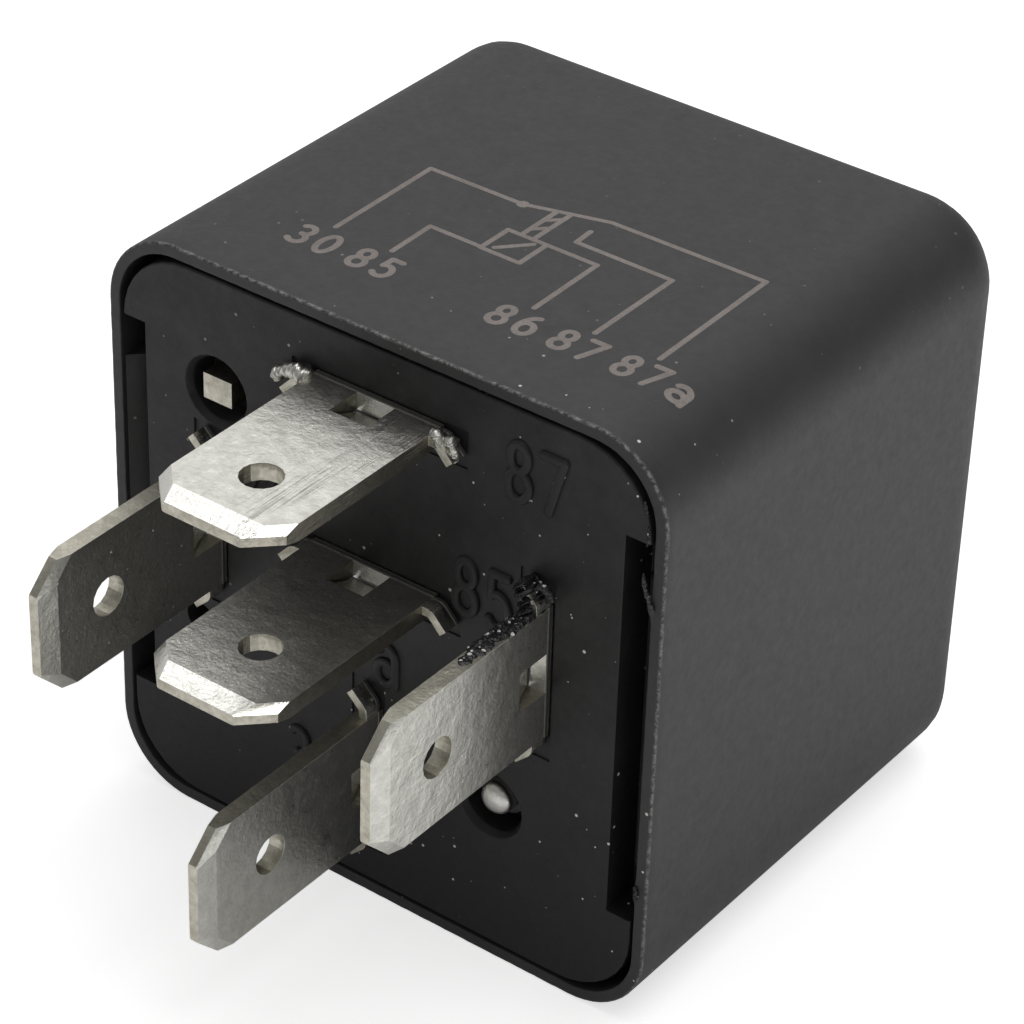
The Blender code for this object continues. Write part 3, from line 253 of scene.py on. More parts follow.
panel("panel_behind_left", (-0.17, 0.235, 0.195), (0.26, 0.18), 0.52)
panel("panel_high_left", (-0.17, 0.14, 0.27), (0.12, 0.08), 1.0)
panel("panel_above", (0.05, 0.06, 0.32), (0.26, 0.26), 1.9)

# %% [markdown]
# ## Closed shells from grids
# Each new piece is worked out as a grid of points: one parameter runs round a ring, the other
# from ring to ring. The faces follow from the grid alone. Both ends close on a middle point, and
# the sign of the enclosed volume tells whether the faces look outwards.


# %% Shell helpers
def outward(points, quads, fans):
    """The volume is a sixth of a . (b x c), summed over the triangles. A negative sum turns all
    faces round."""
    corners = points[np.concatenate([quads[:, [0, 1, 2]], quads[:, [0, 2, 3]], fans])]
    volume = (corners[:, 0] * np.cross(corners[:, 1], corners[:, 2])).sum()
    way = -1 if volume < 0 else 1
    return points, quads[:, ::way].tolist() + fans[:, ::way].tolist()


def closed_shell(rings):
    """Quads join each ring to the next, and triangles to a middle point close the ends."""
    rows, columns = rings.shape[:2]
    points = np.concatenate([rings.reshape(-1, 3), rings[[0, -1]].mean(axis=1)])
    here = np.arange(rows * columns).reshape(rows, columns)
    there = np.roll(here, -1, axis=1)
    quads = np.stack([here[:-1], there[:-1], there[1:], here[1:]], axis=-1).reshape(-1, 4)
    first, last = np.full(columns, rows * columns), np.full(columns, rows * columns + 1)
    fans = np.stack([[there[0], here[0], first], [here[-1], there[-1], last]])
    return outward(points, quads, fans.transpose(0, 2, 1).reshape(-1, 3))


def closed_ring(rings):
    """Quads join each ring to the next and the last to the first, so no end is left to close."""
    rows, columns = rings.shape[:2]
    here = np.arange(rows * columns).reshape(rows, columns)
    there, next_here = np.roll(here, -1, axis=1), np.roll(here, -1, axis=0)
    quads = np.stack([here, there, np.roll(there, -1, axis=0), next_here], axis=-1).reshape(-1, 4)
    return outward(rings.reshape(-1, 3), quads, np.empty((0, 3), int))


def shells_mesh(name, shells, sharp_deg):
    """One mesh of several closed shells in millimetres, smooth except across real edges."""
    starts = np.cumsum([0] + [len(points) for points, _ in shells])
    numbered = zip((own for _, own in shells), starts.tolist())
    faces = [[corner + start for corner in face] for own, start in numbered for face in own]
    mesh = bpy.data.meshes.new(name)
    mesh.from_pydata((np.concatenate([points for points, _ in shells]) * MM).tolist(), [], faces)
    mesh.shade_smooth()
    mesh.set_sharp_from_angle(angle=np.radians(sharp_deg))
    return mesh


def add_piece(name, mesh, material, rides=True):
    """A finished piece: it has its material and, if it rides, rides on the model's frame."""
    made = bpy.data.objects.new(name, mesh)
    bpy.context.scene.collection.objects.link(made)
    mesh.materials.clear()
    mesh.materials.append(material)
    if rides:
        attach(made, "frame")
    print(name, "has", len(mesh.polygons), "faces")
    return made


# %% [markdown]
# ## Shared effects
# The two black plastics, the tin and the inner metals differ in colour but share their kinds of
# unevenness. Each kind is a node group that gives values and normals, which a material then uses
# as it needs. All lengths inside are millimetres, so a size reads as it would be measured.


# %% Group helper
def new_group(name, inputs, outputs):
    """A shader node group with named sockets, its input node and its output node."""
    tree = bpy.data.node_groups.new(name, "ShaderNodeTree")
    for label, value in inputs:
        kind = "NodeSocketVector" if value is None else "NodeSocketFloat"
        socket = tree.interface.new_socket(label, in_out="INPUT", socket_type=kind)
        if value is not None:
            socket.default_value = value
    for label, kind in outputs:
        tree.interface.new_socket(label, in_out="OUTPUT", socket_type="NodeSocket" + kind)
    return tree, tree.nodes.new("NodeGroupInput"), tree.nodes.new("NodeGroupOutput")


def in_mm(tree, vector, stretch=(1.0, 1.0, 1.0)):
    """Object coordinates in millimetres, times a stretch along each axis."""
    made = add(tree, "VectorMath", [("operation", "MULTIPLY")], Vector=vector)
    made.inputs[1].default_value = tuple(1000.0 * part for part in stretch)
    return made.outputs[0]


# %% Moulded skin
skin, source, result = new_group(
    "moulded_skin",
    [("Vector", None), ("Cloud", 1.6), ("Grain", 0.09), ("Depth", 0.000012)],
    [("Tone", "Float"), ("Shine", "Float"), ("Normal", "Vector")],
)
place = in_mm(skin, source.outputs["Vector"])
cloud_rate = calc(skin, "DIVIDE", 1.0, source.outputs["Cloud"])
grain_rate = calc(skin, "DIVIDE", 1.0, source.outputs["Grain"])
cloud = add(skin, "TexNoise", Vector=place, Scale=cloud_rate, Detail=5.0, Roughness=0.65)
shine = add(skin, "TexNoise", Vector=place, Scale=2.3, Detail=4.0, Roughness=0.7)
grain = add(skin, "TexNoise", Vector=place, Scale=grain_rate, Detail=2.0, Roughness=0.6)
bump = add(skin, "Bump", Strength=1.0, Distance=source.outputs["Depth"], Height=grain.outputs["Fac"])
skin.links.new(remap(skin, cloud.outputs["Fac"], 0.3, 0.7), result.inputs["Tone"])
skin.links.new(remap(skin, shine.outputs["Fac"], 0.3, 0.7), result.inputs["Shine"])
skin.links.new(bump.outputs[0], result.inputs["Normal"])
print("group", skin.name)

# %% Dust
dust, source, result = new_group(
    "dust_specks", [("Vector", None), ("Spacing", 0.8), ("Size", 0.09)], [("Mask", "Float")]
)
place = in_mm(dust, source.outputs["Vector"])
rate = calc(dust, "DIVIDE", 1.0, source.outputs["Spacing"])
cells = add(dust, "TexVoronoi", Vector=place, Scale=rate)
away = calc(dust, "MULTIPLY", cells.outputs["Distance"], source.outputs["Spacing"])
lot = add(dust, "SeparateColor", Color=cells.outputs["Color"]).outputs["Red"]
reach = calc(dust, "MULTIPLY", source.outputs["Size"], calc(dust, "POWER", lot, 2.0))
dust.links.new(remap(dust, calc(dust, "SUBTRACT", reach, away), 0.0, 0.02), result.inputs["Mask"])
print("group", dust.name)

# %% Drawn metal
drawn, source, result = new_group(
    "drawn_metal",
    [("Vector", None), ("Scratches", 0.5), ("Wrinkles", 0.5), ("Depth", 0.000006)],
    [("Tone", "Float"), ("Scratch", "Float"), ("Normal", "Vector")],
)
vector = source.outputs["Vector"]
along, wider = (in_mm(drawn, vector, stretch) for stretch in ((9.0, 0.12, 9.0), (1.3, 0.3, 1.3)))
streaks = add(drawn, "TexNoise", Vector=along, Scale=1.0, Detail=2.0, Roughness=0.7)
strips = add(drawn, "TexNoise", Vector=wider, Scale=1.0, Detail=1.0)
peel = add(drawn, "TexNoise", Vector=in_mm(drawn, vector), Scale=7.0, Detail=3.0, Roughness=0.65)
swell = add(drawn, "TexNoise", Vector=in_mm(drawn, vector), Scale=1.3, Detail=2.0, Roughness=0.5)
cloud = add(drawn, "TexNoise", Vector=in_mm(drawn, vector), Scale=1.7, Detail=8.0, Roughness=0.78)
fine = remap(drawn, streaks.outputs["Fac"], 0.53, 0.62)
lines = calc(drawn, "MULTIPLY", fine, remap(drawn, strips.outputs["Fac"], 0.4, 0.55))
scratch = calc(drawn, "MULTIPLY", lines, source.outputs["Scratches"])
grain = calc(drawn, "MULTIPLY_ADD", peel.outputs["Fac"], 0.5, swell.outputs["Fac"])
wrinkle = calc(drawn, "MULTIPLY", grain, source.outputs["Wrinkles"])
height = calc(drawn, "MULTIPLY_ADD", scratch, -0.6, wrinkle)
bump = add(drawn, "Bump", Strength=1.0, Distance=source.outputs["Depth"], Height=height)
drawn.links.new(remap(drawn, cloud.outputs["Fac"], 0.32, 0.68), result.inputs["Tone"])
drawn.links.new(scratch, result.inputs["Scratch"])
drawn.links.new(bump.outputs[0], result.inputs["Normal"])
print("group", drawn.name)

# %% [markdown]
# ## Finishes
# A finish is a Principled shader fed by the groups. What is the same all over a surface, such as
# being metal, is set on the shader itself; what varies, such as colour and gloss, comes by links.


# %% Finish helpers
def new_finish(name, **constants):
    """A material, its tree, its shader and its object coordinates, constants set on the shader."""
    material = bpy.data.materials.new(name)
    material.use_nodes = True
    tree = material.node_tree
    shader = tree.nodes["Principled BSDF"]
    for label, value in constants.items():
        shader.inputs[label.replace("_", " ")].default_value = value
    return material, tree, shader, add(tree, "TexCoord").outputs["Object"]


def use_group(tree, group, vector, **sockets):
    """A group node with its vector linked and its other sockets set."""
    made = add(tree, "Group", [("node_tree", group)], Vector=vector)
    for label, value in sockets.items():
        feed(tree, made.inputs[label], value)
    return made.outputs


# Pale colour of the dust specks and of the painted highlight along the case's front edge.
PALE_DUST_AND_HIGHLIGHT = (0.75, 0.74, 0.72, 1)
EDGE_CENTRE, PALE_EDGE_FROM, PALE_EDGE_FULL = 10.4, 3.48, 3.57


def plastic(name, dark, light, gloss, specks, edge_highlight_and_wear=0.0, shade_downwards=0.0, **grain):
    """Black plastic: cloudy tone, patches of more and less gloss, grain, and dust that lies thickest
    at the front right. One setting says how much of the outer front edge is painted pale, partly a
    painted highlight along the edge and partly rubbed wear, and another how much the light tone is
    darkened towards the bottom, a painted shade."""
    material, tree, shader, vector = new_finish(name, Specular_IOR_Level=0.5 if edge_highlight_and_wear else 0.3)
    parts = use_group(tree, skin, vector, **grain)
    side = add(tree, "SeparateXYZ", Vector=in_mm(tree, vector))
    x, y, z = (side.outputs[axis] for axis in "XYZ")
    # Painted shade: the light tone is darkened towards the bottom of the part.
    tone = calc(tree, "MULTIPLY", parts["Tone"], remap(tree, z, -11.0, 10.0, 1.0 - shade_downwards, 1.0))
    colour = mix_colour(tree, tone, (*dark, 1), (*light, 1))
    to_right, to_front = remap(tree, x, -10.0, 9.0, 0.25, 1.0), remap(tree, y, 0.0, 7.0, 1.0, 0.1)
    share = calc(tree, "MULTIPLY", to_right, to_front)
    share = calc(tree, "MULTIPLY", share, use_group(tree, dust, vector, **specks)["Mask"])
    # Painted highlight and wear: a pale, chipped line along the outer front edge of the case, partly a
    # painted highlight and partly rubbed wear.
    away = [calc(tree, "SUBTRACT", calc(tree, "ABSOLUTE", way), EDGE_CENTRE) for way in (x, z)]
    past_x, past_z = (calc(tree, "MAXIMUM", way, 0.0) for way in away)
    square = calc(tree, "MULTIPLY_ADD", past_x, past_x, calc(tree, "MULTIPLY", past_z, past_z))
    outer = remap(tree, calc(tree, "SQRT", square), PALE_EDGE_FROM, PALE_EDGE_FULL)
    rubbed = calc(tree, "MULTIPLY", outer, remap(tree, y, 0.05, 0.2, edge_highlight_and_wear, 0.0))
    chips = add(tree, "TexNoise", Vector=in_mm(tree, vector), Scale=4.0, Detail=3.0, Roughness=0.8)
    rubbed = calc(tree, "MULTIPLY", rubbed, remap(tree, chips.outputs["Fac"], 0.42, 0.62))
    pale = calc(tree, "MAXIMUM", share, rubbed)
    feed(tree, shader.inputs["Base Color"], mix_colour(tree, pale, colour, PALE_DUST_AND_HIGHLIGHT))
    feed(tree, shader.inputs["Roughness"], remap(tree, parts["Shine"], 0.0, 1.0, *gloss))
    feed(tree, shader.inputs["Normal"], parts["Normal"])
    return material


case_finish = plastic(
    "matte_black_case", (0.025, 0.024, 0.0245), (0.034, 0.033, 0.0335), (0.5, 0.6),
    {"Spacing": 0.6, "Size": 0.085}, 0.3, Cloud=1.4, Grain=0.11, Depth=0.000011,
)
base_finish = plastic(
    "black_base", (0.0115, 0.0112, 0.012), (0.031, 0.03, 0.031), (0.42, 0.55),
    {"Spacing": 0.55, "Size": 0.085}, shade_downwards=0.9, Cloud=2.2, Grain=0.16, Depth=0.000008,
)
print("finishes:", case_finish.name, base_finish.name)

# %% [markdown]
# ## The case
# The case is a deep moulded can with round corners and a thin rim. A box with bevels would do, but
# one profile carried round a rounded square gives every edge its own radius, and the inside too.
# The profile starts at the middle of the inner end, runs down the inner wall to the rim, and
# comes back up the outer wall to the middle of the outer end.

# %% Case sizes, in millimetres
HALF, DEPTH, CORNER = 14.0, 24.5, 3.6
END_ROUND, WALL, RIM, SEAT = 1.8, 1.0, 0.55, 3.3
SKIN = 0.012
RIM_EDGE, LIP_EDGE = 0.07, 0.05
RIB_LOW, RIB_HIGH = -6.4, 7.6


def quarter(steps):
    """Sine and cosine of a quarter turn in even steps."""
    turn = np.linspace(0, np.pi / 2, steps)
    return np.sin(turn), np.cos(turn)


def case_profile():
    """(inset, depth) pairs: straight runs between quarter rounds."""
    sine, cosine = quarter(7)
    fine_sine, fine_cosine = quarter(4)
    inner = END_ROUND - WALL
    runs = [
        (np.linspace(13.0, 2.5, 5), np.full(5, DEPTH - WALL)),
        (END_ROUND - inner * sine, DEPTH - END_ROUND + inner * cosine),
        (np.full(6, WALL), np.linspace(21.0, SEAT + 0.05, 6)),
        (np.array([WALL - 0.03, RIM]), np.full(2, SEAT)),
        (np.full(4, RIM), np.linspace(SEAT - 0.1, 0.2, 4)),
        (RIM - LIP_EDGE + LIP_EDGE * fine_cosine, LIP_EDGE - LIP_EDGE * fine_sine),
        (np.linspace(RIM - 0.15, RIM_EDGE + 0.06, 3), np.zeros(3)),
        (SKIN + RIM_EDGE - RIM_EDGE * fine_sine, RIM_EDGE - RIM_EDGE * fine_cosine),
        (np.full(12, SKIN), np.linspace(0.6, 22.2, 12)),
        (SKIN + END_ROUND - END_ROUND * cosine, DEPTH - SKIN - END_ROUND + END_ROUND * sine),
        (np.linspace(2.4, 13.0, 6), np.full(6, DEPTH - SKIN)),
    ]
    return np.concatenate([inset for inset, _ in runs]), np.concatenate([depth for _, depth in runs])


def square_rings(inset, depth, along=72, arc=14):
    """Each ring is a rounded square inset from the outer face: an arc round a corner's centre,
    then a straight run to the next corner, four times, each a quarter turn on."""
    radius = np.maximum(CORNER - inset, 0.02)
    centre = HALF - inset - radius
    turn = np.linspace(0, np.pi / 2, arc)
    share = np.linspace(1, -1, along)[1:-1]
    radius, centre = radius[:, None], centre[:, None]
    u = np.concatenate([centre + radius * np.cos(turn), centre * share], axis=1)
    straight = np.repeat(centre + radius, along - 2, 1)
    v = np.concatenate([centre + radius * np.sin(turn), straight], axis=1)
    x = np.concatenate([u, -v, -u, v], axis=1)
    z = np.concatenate([v, u, -v, -u], axis=1)
    return np.stack([x, np.repeat(depth[:, None], x.shape[1], 1), z], axis=-1)


# %% Rim wear
def ragged(values, seed, pitch):
    """Uneven heights along a line: sines of seeded phase at the pitch and its overtones, summed."""
    dice = np.random.default_rng(seed)
    rate = 2 * np.pi / pitch * np.array([1.0, 2.3, 4.1, 7.7])
    phase = dice.uniform(0, 2 * np.pi, 4)
    return (np.sin(values[..., None] * rate + phase) / np.array([1, 1.6, 2.2, 3.0])).sum(axis=-1) / 2.0


RIM_REACH, NICK_DEPTH, BURR_IN, BURR_OUT = 0.12, 0.012, 0.22, 0.05


def nicked(rings):
    """Points near the rim move along the depth by a ragged height, and two bumps of bell shape
    push the lip inwards where the snap rib left burrs."""
    x, y, z = np.moveaxis(rings, -1, 0)
    near_rim = np.exp(-((y / RIM_REACH) ** 2))
    run = np.where(np.abs(x) > np.abs(z), z, x)
    wave = NICK_DEPTH * ragged(run, 7, 1.3) * near_rim
    bell = np.exp(-(((z - 7.1) / 0.4) ** 2)) + 0.6 * np.exp(-(((z + 7.0) / 0.35) ** 2))
    burr = bell * near_rim * (x > 13.2) * (x < 13.85)
    return np.stack([x - BURR_IN * burr, y + wave - BURR_OUT * burr, z], axis=-1)


# %% Snap ribs
def snap_rib(side):
    """A six-cornered wedge carried along the wall from end to end."""
    wall = HALF - RIM
    edge = np.array([
        (wall + 0.25, 0.25), (wall, 0.25), (wall - 0.9, 1.2),
        (wall - 0.95, 1.3), (wall - 0.95, 1.65), (wall + 0.25, 1.65),
    ])
    along = np.linspace(RIB_LOW, RIB_HIGH, 40)
    shape = (along.size, len(edge))
    x = side * np.broadcast_to(edge[:, 0], shape)
    y = np.broadcast_to(edge[:, 1], shape)
    return np.stack([x, y, np.broadcast_to(along[:, None], shape)], axis=-1)


# %% Make the case
case_rings = nicked(square_rings(*case_profile()))
case_shells = [closed_shell(rings) for rings in (case_rings, snap_rib(1), snap_rib(-1))]
case_mesh = shells_mesh("case_shell", case_shells, 40)
case_piece = add_piece("case_shell", case_mesh, case_finish)
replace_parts(case_piece, "case")

# %% [markdown]
# ## Numbers drawn with strokes
# The base has raised terminal numbers in its own plastic, and the top carries a laser marking of
# the circuit. A text object could make them, but its outline has one weight. Here a number is a few
# strokes, arcs and lines, and a rounded bead is carried along each one, as a mould maker's cutter or
# a laser goes. The same strokes then serve both, with other widths and heights.


# %% Stroke alphabet
def arc(x, y, wide, high, start, end, count=22):
    """Points of an ellipse's arc between two angles in degrees."""
    turn = np.radians(np.linspace(start, end, count))
    return np.stack([x + wide * np.cos(turn), y + high * np.sin(turn)], axis=-1)


def line(*points):
    """The corners of a broken line."""
    return np.array(points, float)


SIGNS = {
    "0": (0.5, [arc(0.25, 0.5, 0.25, 0.5, 90, 450, 40)]),
    "3": (0.48, [arc(0.21, 0.755, 0.23, 0.245, 140, -90), arc(0.2, 0.26, 0.27, 0.26, 90, -140)]),
    "5": (0.5, [
        line((0.45, 1), (0.08, 1)), line((0.08, 1), (0.06, 0.57)), arc(0.22, 0.32, 0.27, 0.32, 125, -140),
    ]),
    "6": (0.5, [arc(0.26, 0.31, 0.25, 0.31, 0, 360, 36), arc(0.4, 0.4, 0.39, 0.6, 100, 192)]),
    "7": (0.5, [line((0, 1), (0.5, 1)), line((0.5, 1), (0.16, 0))]),
    "8": (0.5, [arc(0.25, 0.76, 0.21, 0.24, 0, 360, 32), arc(0.25, 0.26, 0.25, 0.26, 0, 360, 34)]),
    "a": (0.48, [
        arc(0.24, 0.21, 0.24, 0.21, 0, 360, 32), line((0.48, 0), (0.48, 0.5)),
        arc(0.25, 0.5, 0.23, 0.24, 0, 150),
    ]),
}


def write(text, place, height, gap, squeeze=1.0):
    """The strokes of a number, its lower left corner at place, its signs a gap apart and as wide as
    drawn times the squeeze."""
    strokes, start = [], 0.0
    for sign in text:
        width, own = SIGNS[sign]
        strokes += [np.array(place) + height * stroke * [squeeze, 1] + [start, 0] for stroke in own]
        start += height * width * squeeze + gap
    return strokes


# %% A bead along a stroke
def even(path, step):
    """The same line with points an even step apart, by length along it."""
    length = np.concatenate([[0], np.cumsum(np.linalg.norm(np.diff(path, axis=0), axis=1))])
    mark = np.linspace(0, length[-1], max(3, int(length[-1] / step) + 1))
    return np.stack([np.interp(mark, length, axis) for axis in path.T], axis=-1)


def bead(path, lift, half_width, height, sink=0.02):
    """A low dome carried along a flat path: across it, height is (1 - s^4)^0.5 of the full height.
    Beyond both ends the dome narrows by the cosine of a quarter turn, which rounds them off."""
    ahead = np.gradient(path, axis=0)
    ahead /= np.linalg.norm(ahead, axis=1, keepdims=True)
    sine, cosine = quarter(6)
    out, narrow = half_width * cosine[:-1], sine[:-1] + 0.02
    before, after = path[0] - out[:, None] * ahead[0], path[-1] + out[::-1, None] * ahead[-1]
    middle = np.concatenate([before, path, after])
    ahead = np.concatenate([np.repeat(ahead[:1], 5, 0), ahead, np.repeat(ahead[-1:], 5, 0)])
    share = np.concatenate([narrow, np.ones(len(path)), narrow[::-1]])
    across = np.cos(np.linspace(0, np.pi, 9))
    rise = np.sqrt(1 - across**4)
    across, rise = np.append(across, [-1, 1]), np.append(height * rise, [-sink, -sink])
    side = np.cross(lift, ahead)
    sideways = half_width * share[:, None, None] * across[None, :, None] * side[:, None, :]
    upwards = np.sqrt(share)[:, None, None] * rise[None, :, None] * np.asarray(lift, float)
    return closed_shell(middle[:, None, :] + sideways + upwards)


# %% Raised numbers on the base
def on_base(flat):
    """A flat stroke laid on the seating face."""
    return np.stack([flat[:, 0], np.zeros(len(flat)), flat[:, 1]], axis=-1)


NUMERALS = [
    ("87", 6.55, 9.3), ("85", 4.15, 2.85), ("87a", -3.1, -2.5), ("86", -7.2, 2.85), ("30", -4.4, -9.6),
]
SIGN_HIGH, SIGN_GAP, SIGN_SQUEEZE = 2.5, 0.65, 0.8
BEAD_HALF, BEAD_HIGH, BEAD_SINK = 0.21, 0.17, 0.05
strokes = []
for text, x, z in NUMERALS:
    strokes += write(text, (x, z), SIGN_HIGH, SIGN_GAP, SIGN_SQUEEZE)
paths = [on_base(even(stroke, 0.1)) for stroke in strokes]
numeral_shells = [bead(path, (0, -1, 0), BEAD_HALF, BEAD_HIGH, BEAD_SINK) for path in paths]
numeral_mesh = shells_mesh("base_numerals", numeral_shells, 50)
add_piece("base_numerals", numeral_mesh, base_finish)

# %% [markdown]
# ## The laser marking
# A laser bleaches the black plastic to a warm grey, a hundredth of a millimetre proud. The circuit is
# the standard one for a changeover relay: the arm from 30 rests on 87a, and the coil between 85 and
# 86 draws it to 87. The other places of the top stay bare.

# %% Marking finish
mark_finish, tree, shader, vector = new_finish("laser_mark")
speckle = add(tree, "TexNoise", Vector=in_mm(tree, vector), Scale=9.0, Detail=3.0, Roughness=0.7)
patch = use_group(tree, skin, vector, Cloud=1.1, Grain=0.06, Depth=0.00001)
spotted = calc(tree, "MULTIPLY", remap(tree, speckle.outputs["Fac"], 0.3, 0.7), 0.6)
tone = calc(tree, "ADD", calc(tree, "MULTIPLY", patch["Tone"], 0.4), spotted)
bleached = mix_colour(tree, tone, (0.15, 0.128, 0.118, 1), (0.32, 0.285, 0.268, 1))
feed(tree, shader.inputs["Base Color"], bleached)
feed(tree, shader.inputs["Roughness"], remap(tree, speckle.outputs["Fac"], 0.3, 0.7, 0.6, 0.8))
feed(tree, shader.inputs["Normal"], patch["Normal"])


# %% Draw the marking
def on_top(flat):
    """A flat stroke laid on the top of the case."""
    return np.stack([flat[:, 0], flat[:, 1], np.full(len(flat), HALF - SKIN)], axis=-1)


def laid_round(shell):
    """Past the flat of the top, each point goes down by the circle of the case's edge: its radius
    less the root of radius squared minus distance squared."""
    points, faces = shell
    past = np.clip(np.abs(points[:, 0]) - (HALF - CORNER), 0, CORNER)
    drop = CORNER - np.sqrt(CORNER**2 - past**2)
    return points - drop[:, None] * [0, 0, 1], faces


CIRCUIT = [
    line((-6.45, 5.4), (-6.5, 11.7)), line((-6.5, 11.7), (-1.75, 11.75)),
    line((-1.75, 11.75), (1.95, 12.85)), line((1.95, 12.85), (9.45, 12.95)), line((9.45, 12.95), (9.55, 5.5)),
    line((1.72, 11.7), (1.78, 10.65)), line((1.78, 10.65), (6.5, 10.65)), line((6.5, 10.65), (6.5, 5.45)),
    line((1.0, 9.7), (3.5, 9.7)), line((3.5, 9.7), (3.55, 5.45)),
    line((-3.5, 5.35), (-3.55, 7.9)), line((-3.55, 7.9), (-0.95, 7.9)),
    line((-0.95, 7.85), (1.0, 7.85)), line((1.0, 7.85), (1.0, 9.7)),
    line((1.0, 9.7), (-0.95, 9.7)), line((-0.95, 9.7), (-0.95, 7.85)),
    line((-0.5, 8.2), (0.55, 9.4)),
    line((-0.3, 9.8), (-0.3, 12.1)), line((0.3, 9.8), (0.3, 12.2)),
    line((-0.3, 10.3), (0.3, 10.9)), line((-0.3, 11.2), (0.3, 11.8)),
]
TERMINALS = [("30", -7.45), ("85", -4.45), ("86", 2.5), ("87", 5.5), ("87a", 8.5)]
LINE_HALF, DOT_HALF, NUMBER_HALF, MARK_HIGH = 0.125, 0.16, 0.145, 0.01
mark_strokes = [(stroke, LINE_HALF) for stroke in CIRCUIT]
mark_strokes += [(arc(-1.75, 11.75, 0.12, 0.12, 0, 360), DOT_HALF)]
for text, x in TERMINALS:
    number = write(text, (x, 3.5 + 0.012 * x), 1.4, 0.6)
    mark_strokes += [(stroke, NUMBER_HALF) for stroke in number]
paths = [(on_top(even(stroke, 0.08)), half) for stroke, half in mark_strokes]
mark_shells = [laid_round(bead(path, (0, 0, 1), half, MARK_HIGH)) for path, half in paths]
mark_mesh = shells_mesh("laser_marking", mark_shells, 60)
add_piece("laser_marking", mark_mesh, mark_finish)

# %% [markdown]
# ## The blades
# Each terminal is stamped from brass strip and tinned. The solid model has their true form, so a
# merged copy of each mesh is enough. A fine bevel gives the edges the light line of sheared and
# tumbled metal. Faces that a punch has cut are marked, and there the tin is thin and torn.

# %% Tin finish
tin_finish, tree, shader, vector = new_finish("scratched_tin")
side = add(tree, "SeparateXYZ", Vector=in_mm(tree, vector))
on_right, on_upper = remap(tree, side.outputs["X"], 0.2, 1.8), remap(tree, side.outputs["Z"], 9.0, 10.5)
rubbed = calc(tree, "MULTIPLY", on_right, on_upper)
wear = remap(tree, rubbed, 0.0, 1.0, 0.12, 0.9)
parts = use_group(tree, drawn, vector, Scratches=wear, Wrinkles=0.9, Depth=0.000036)
sheared = add(tree, "Attribute", [("attribute_name", "sheared")]).outputs["Fac"]
silver = mix_colour(tree, parts["Tone"], (0.53, 0.52, 0.475, 1), (0.745, 0.735, 0.68, 1))
worn = mix_colour(tree, calc(tree, "MULTIPLY", parts["Scratch"], 0.4), silver, (0.9, 0.89, 0.86, 1))
# Painted highlight: sloped pressed faces, on the lances and the flat tips, are painted near white. The lower
# roughness they get further down is their smoother tin.
pressed_highlight = add(tree, "Attribute", [("attribute_name", "pressed_highlight")]).outputs["Fac"]
highlit_tin = mix_colour(tree, calc(tree, "MULTIPLY", pressed_highlight, 0.85), worn, (0.95, 0.94, 0.88, 1))
torn = mix_colour(tree, parts["Tone"], (0.3, 0.275, 0.21, 1), (0.62, 0.59, 0.49, 1))
stained = add(tree, "Attribute", [("attribute_name", "stained")]).outputs["Fac"]
metal = mix_colour(tree, calc(tree, "MULTIPLY", sheared, 0.75), highlit_tin, torn)
metal = mix_colour(tree, calc(tree, "MULTIPLY", stained, 0.6), metal, (0.1, 0.092, 0.07, 1))
# Pale non-metal specks scattered over the tin.
pale_specks = use_group(tree, dust, vector, Spacing=0.5, Size=0.06)["Mask"]
specked = mix_colour(tree, pale_specks, metal, (0.8, 0.79, 0.77, 1))
BLACK = (0.012, 0.012, 0.013, 1)
# Painted shade: where a blade enters the base, from just in front of the base face to just behind it, the tin
# is painted near black and not metal.
from_front = remap(tree, side.outputs["Y"], -0.24, -0.14, 0.0, 0.92)
painted_shade = calc(tree, "MULTIPLY", from_front, remap(tree, side.outputs["Y"], 0.02, 0.08, 1.0, 0.0))
feed(tree, shader.inputs["Base Color"], mix_colour(tree, painted_shade, specked, BLACK))
feed(tree, shader.inputs["Metallic"], calc(tree, "SUBTRACT", 1.0, calc(tree, "MAXIMUM", pale_specks, painted_shade)))
rough = remap(tree, parts["Tone"], 0.0, 1.0, 0.4, 0.25)
rough = calc(tree, "MULTIPLY_ADD", pressed_highlight, -0.13, calc(tree, "MULTIPLY_ADD", sheared, 0.1, rough))
feed(tree, shader.inputs["Roughness"], rough)
feed(tree, shader.inputs["Normal"], parts["Normal"])


# %% Copy and round the stamped and moulded solids
def merged_copy(name, node):
    """The node's triangles as one closed mesh with flat faces joined."""
    work = bmesh.new()
    work.from_mesh(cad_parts[node].data)
    bmesh.ops.remove_doubles(work, verts=work.verts, dist=1e-7)
    bmesh.ops.dissolve_limit(work, angle_limit=np.radians(0.6), verts=work.verts, edges=work.edges)
    mesh = bpy.data.meshes.new(name)
    work.to_mesh(mesh)
    work.free()
    mesh.shade_smooth()
    return mesh


LANCE_SILL, NEAR_BASE = 0.2, 5.0


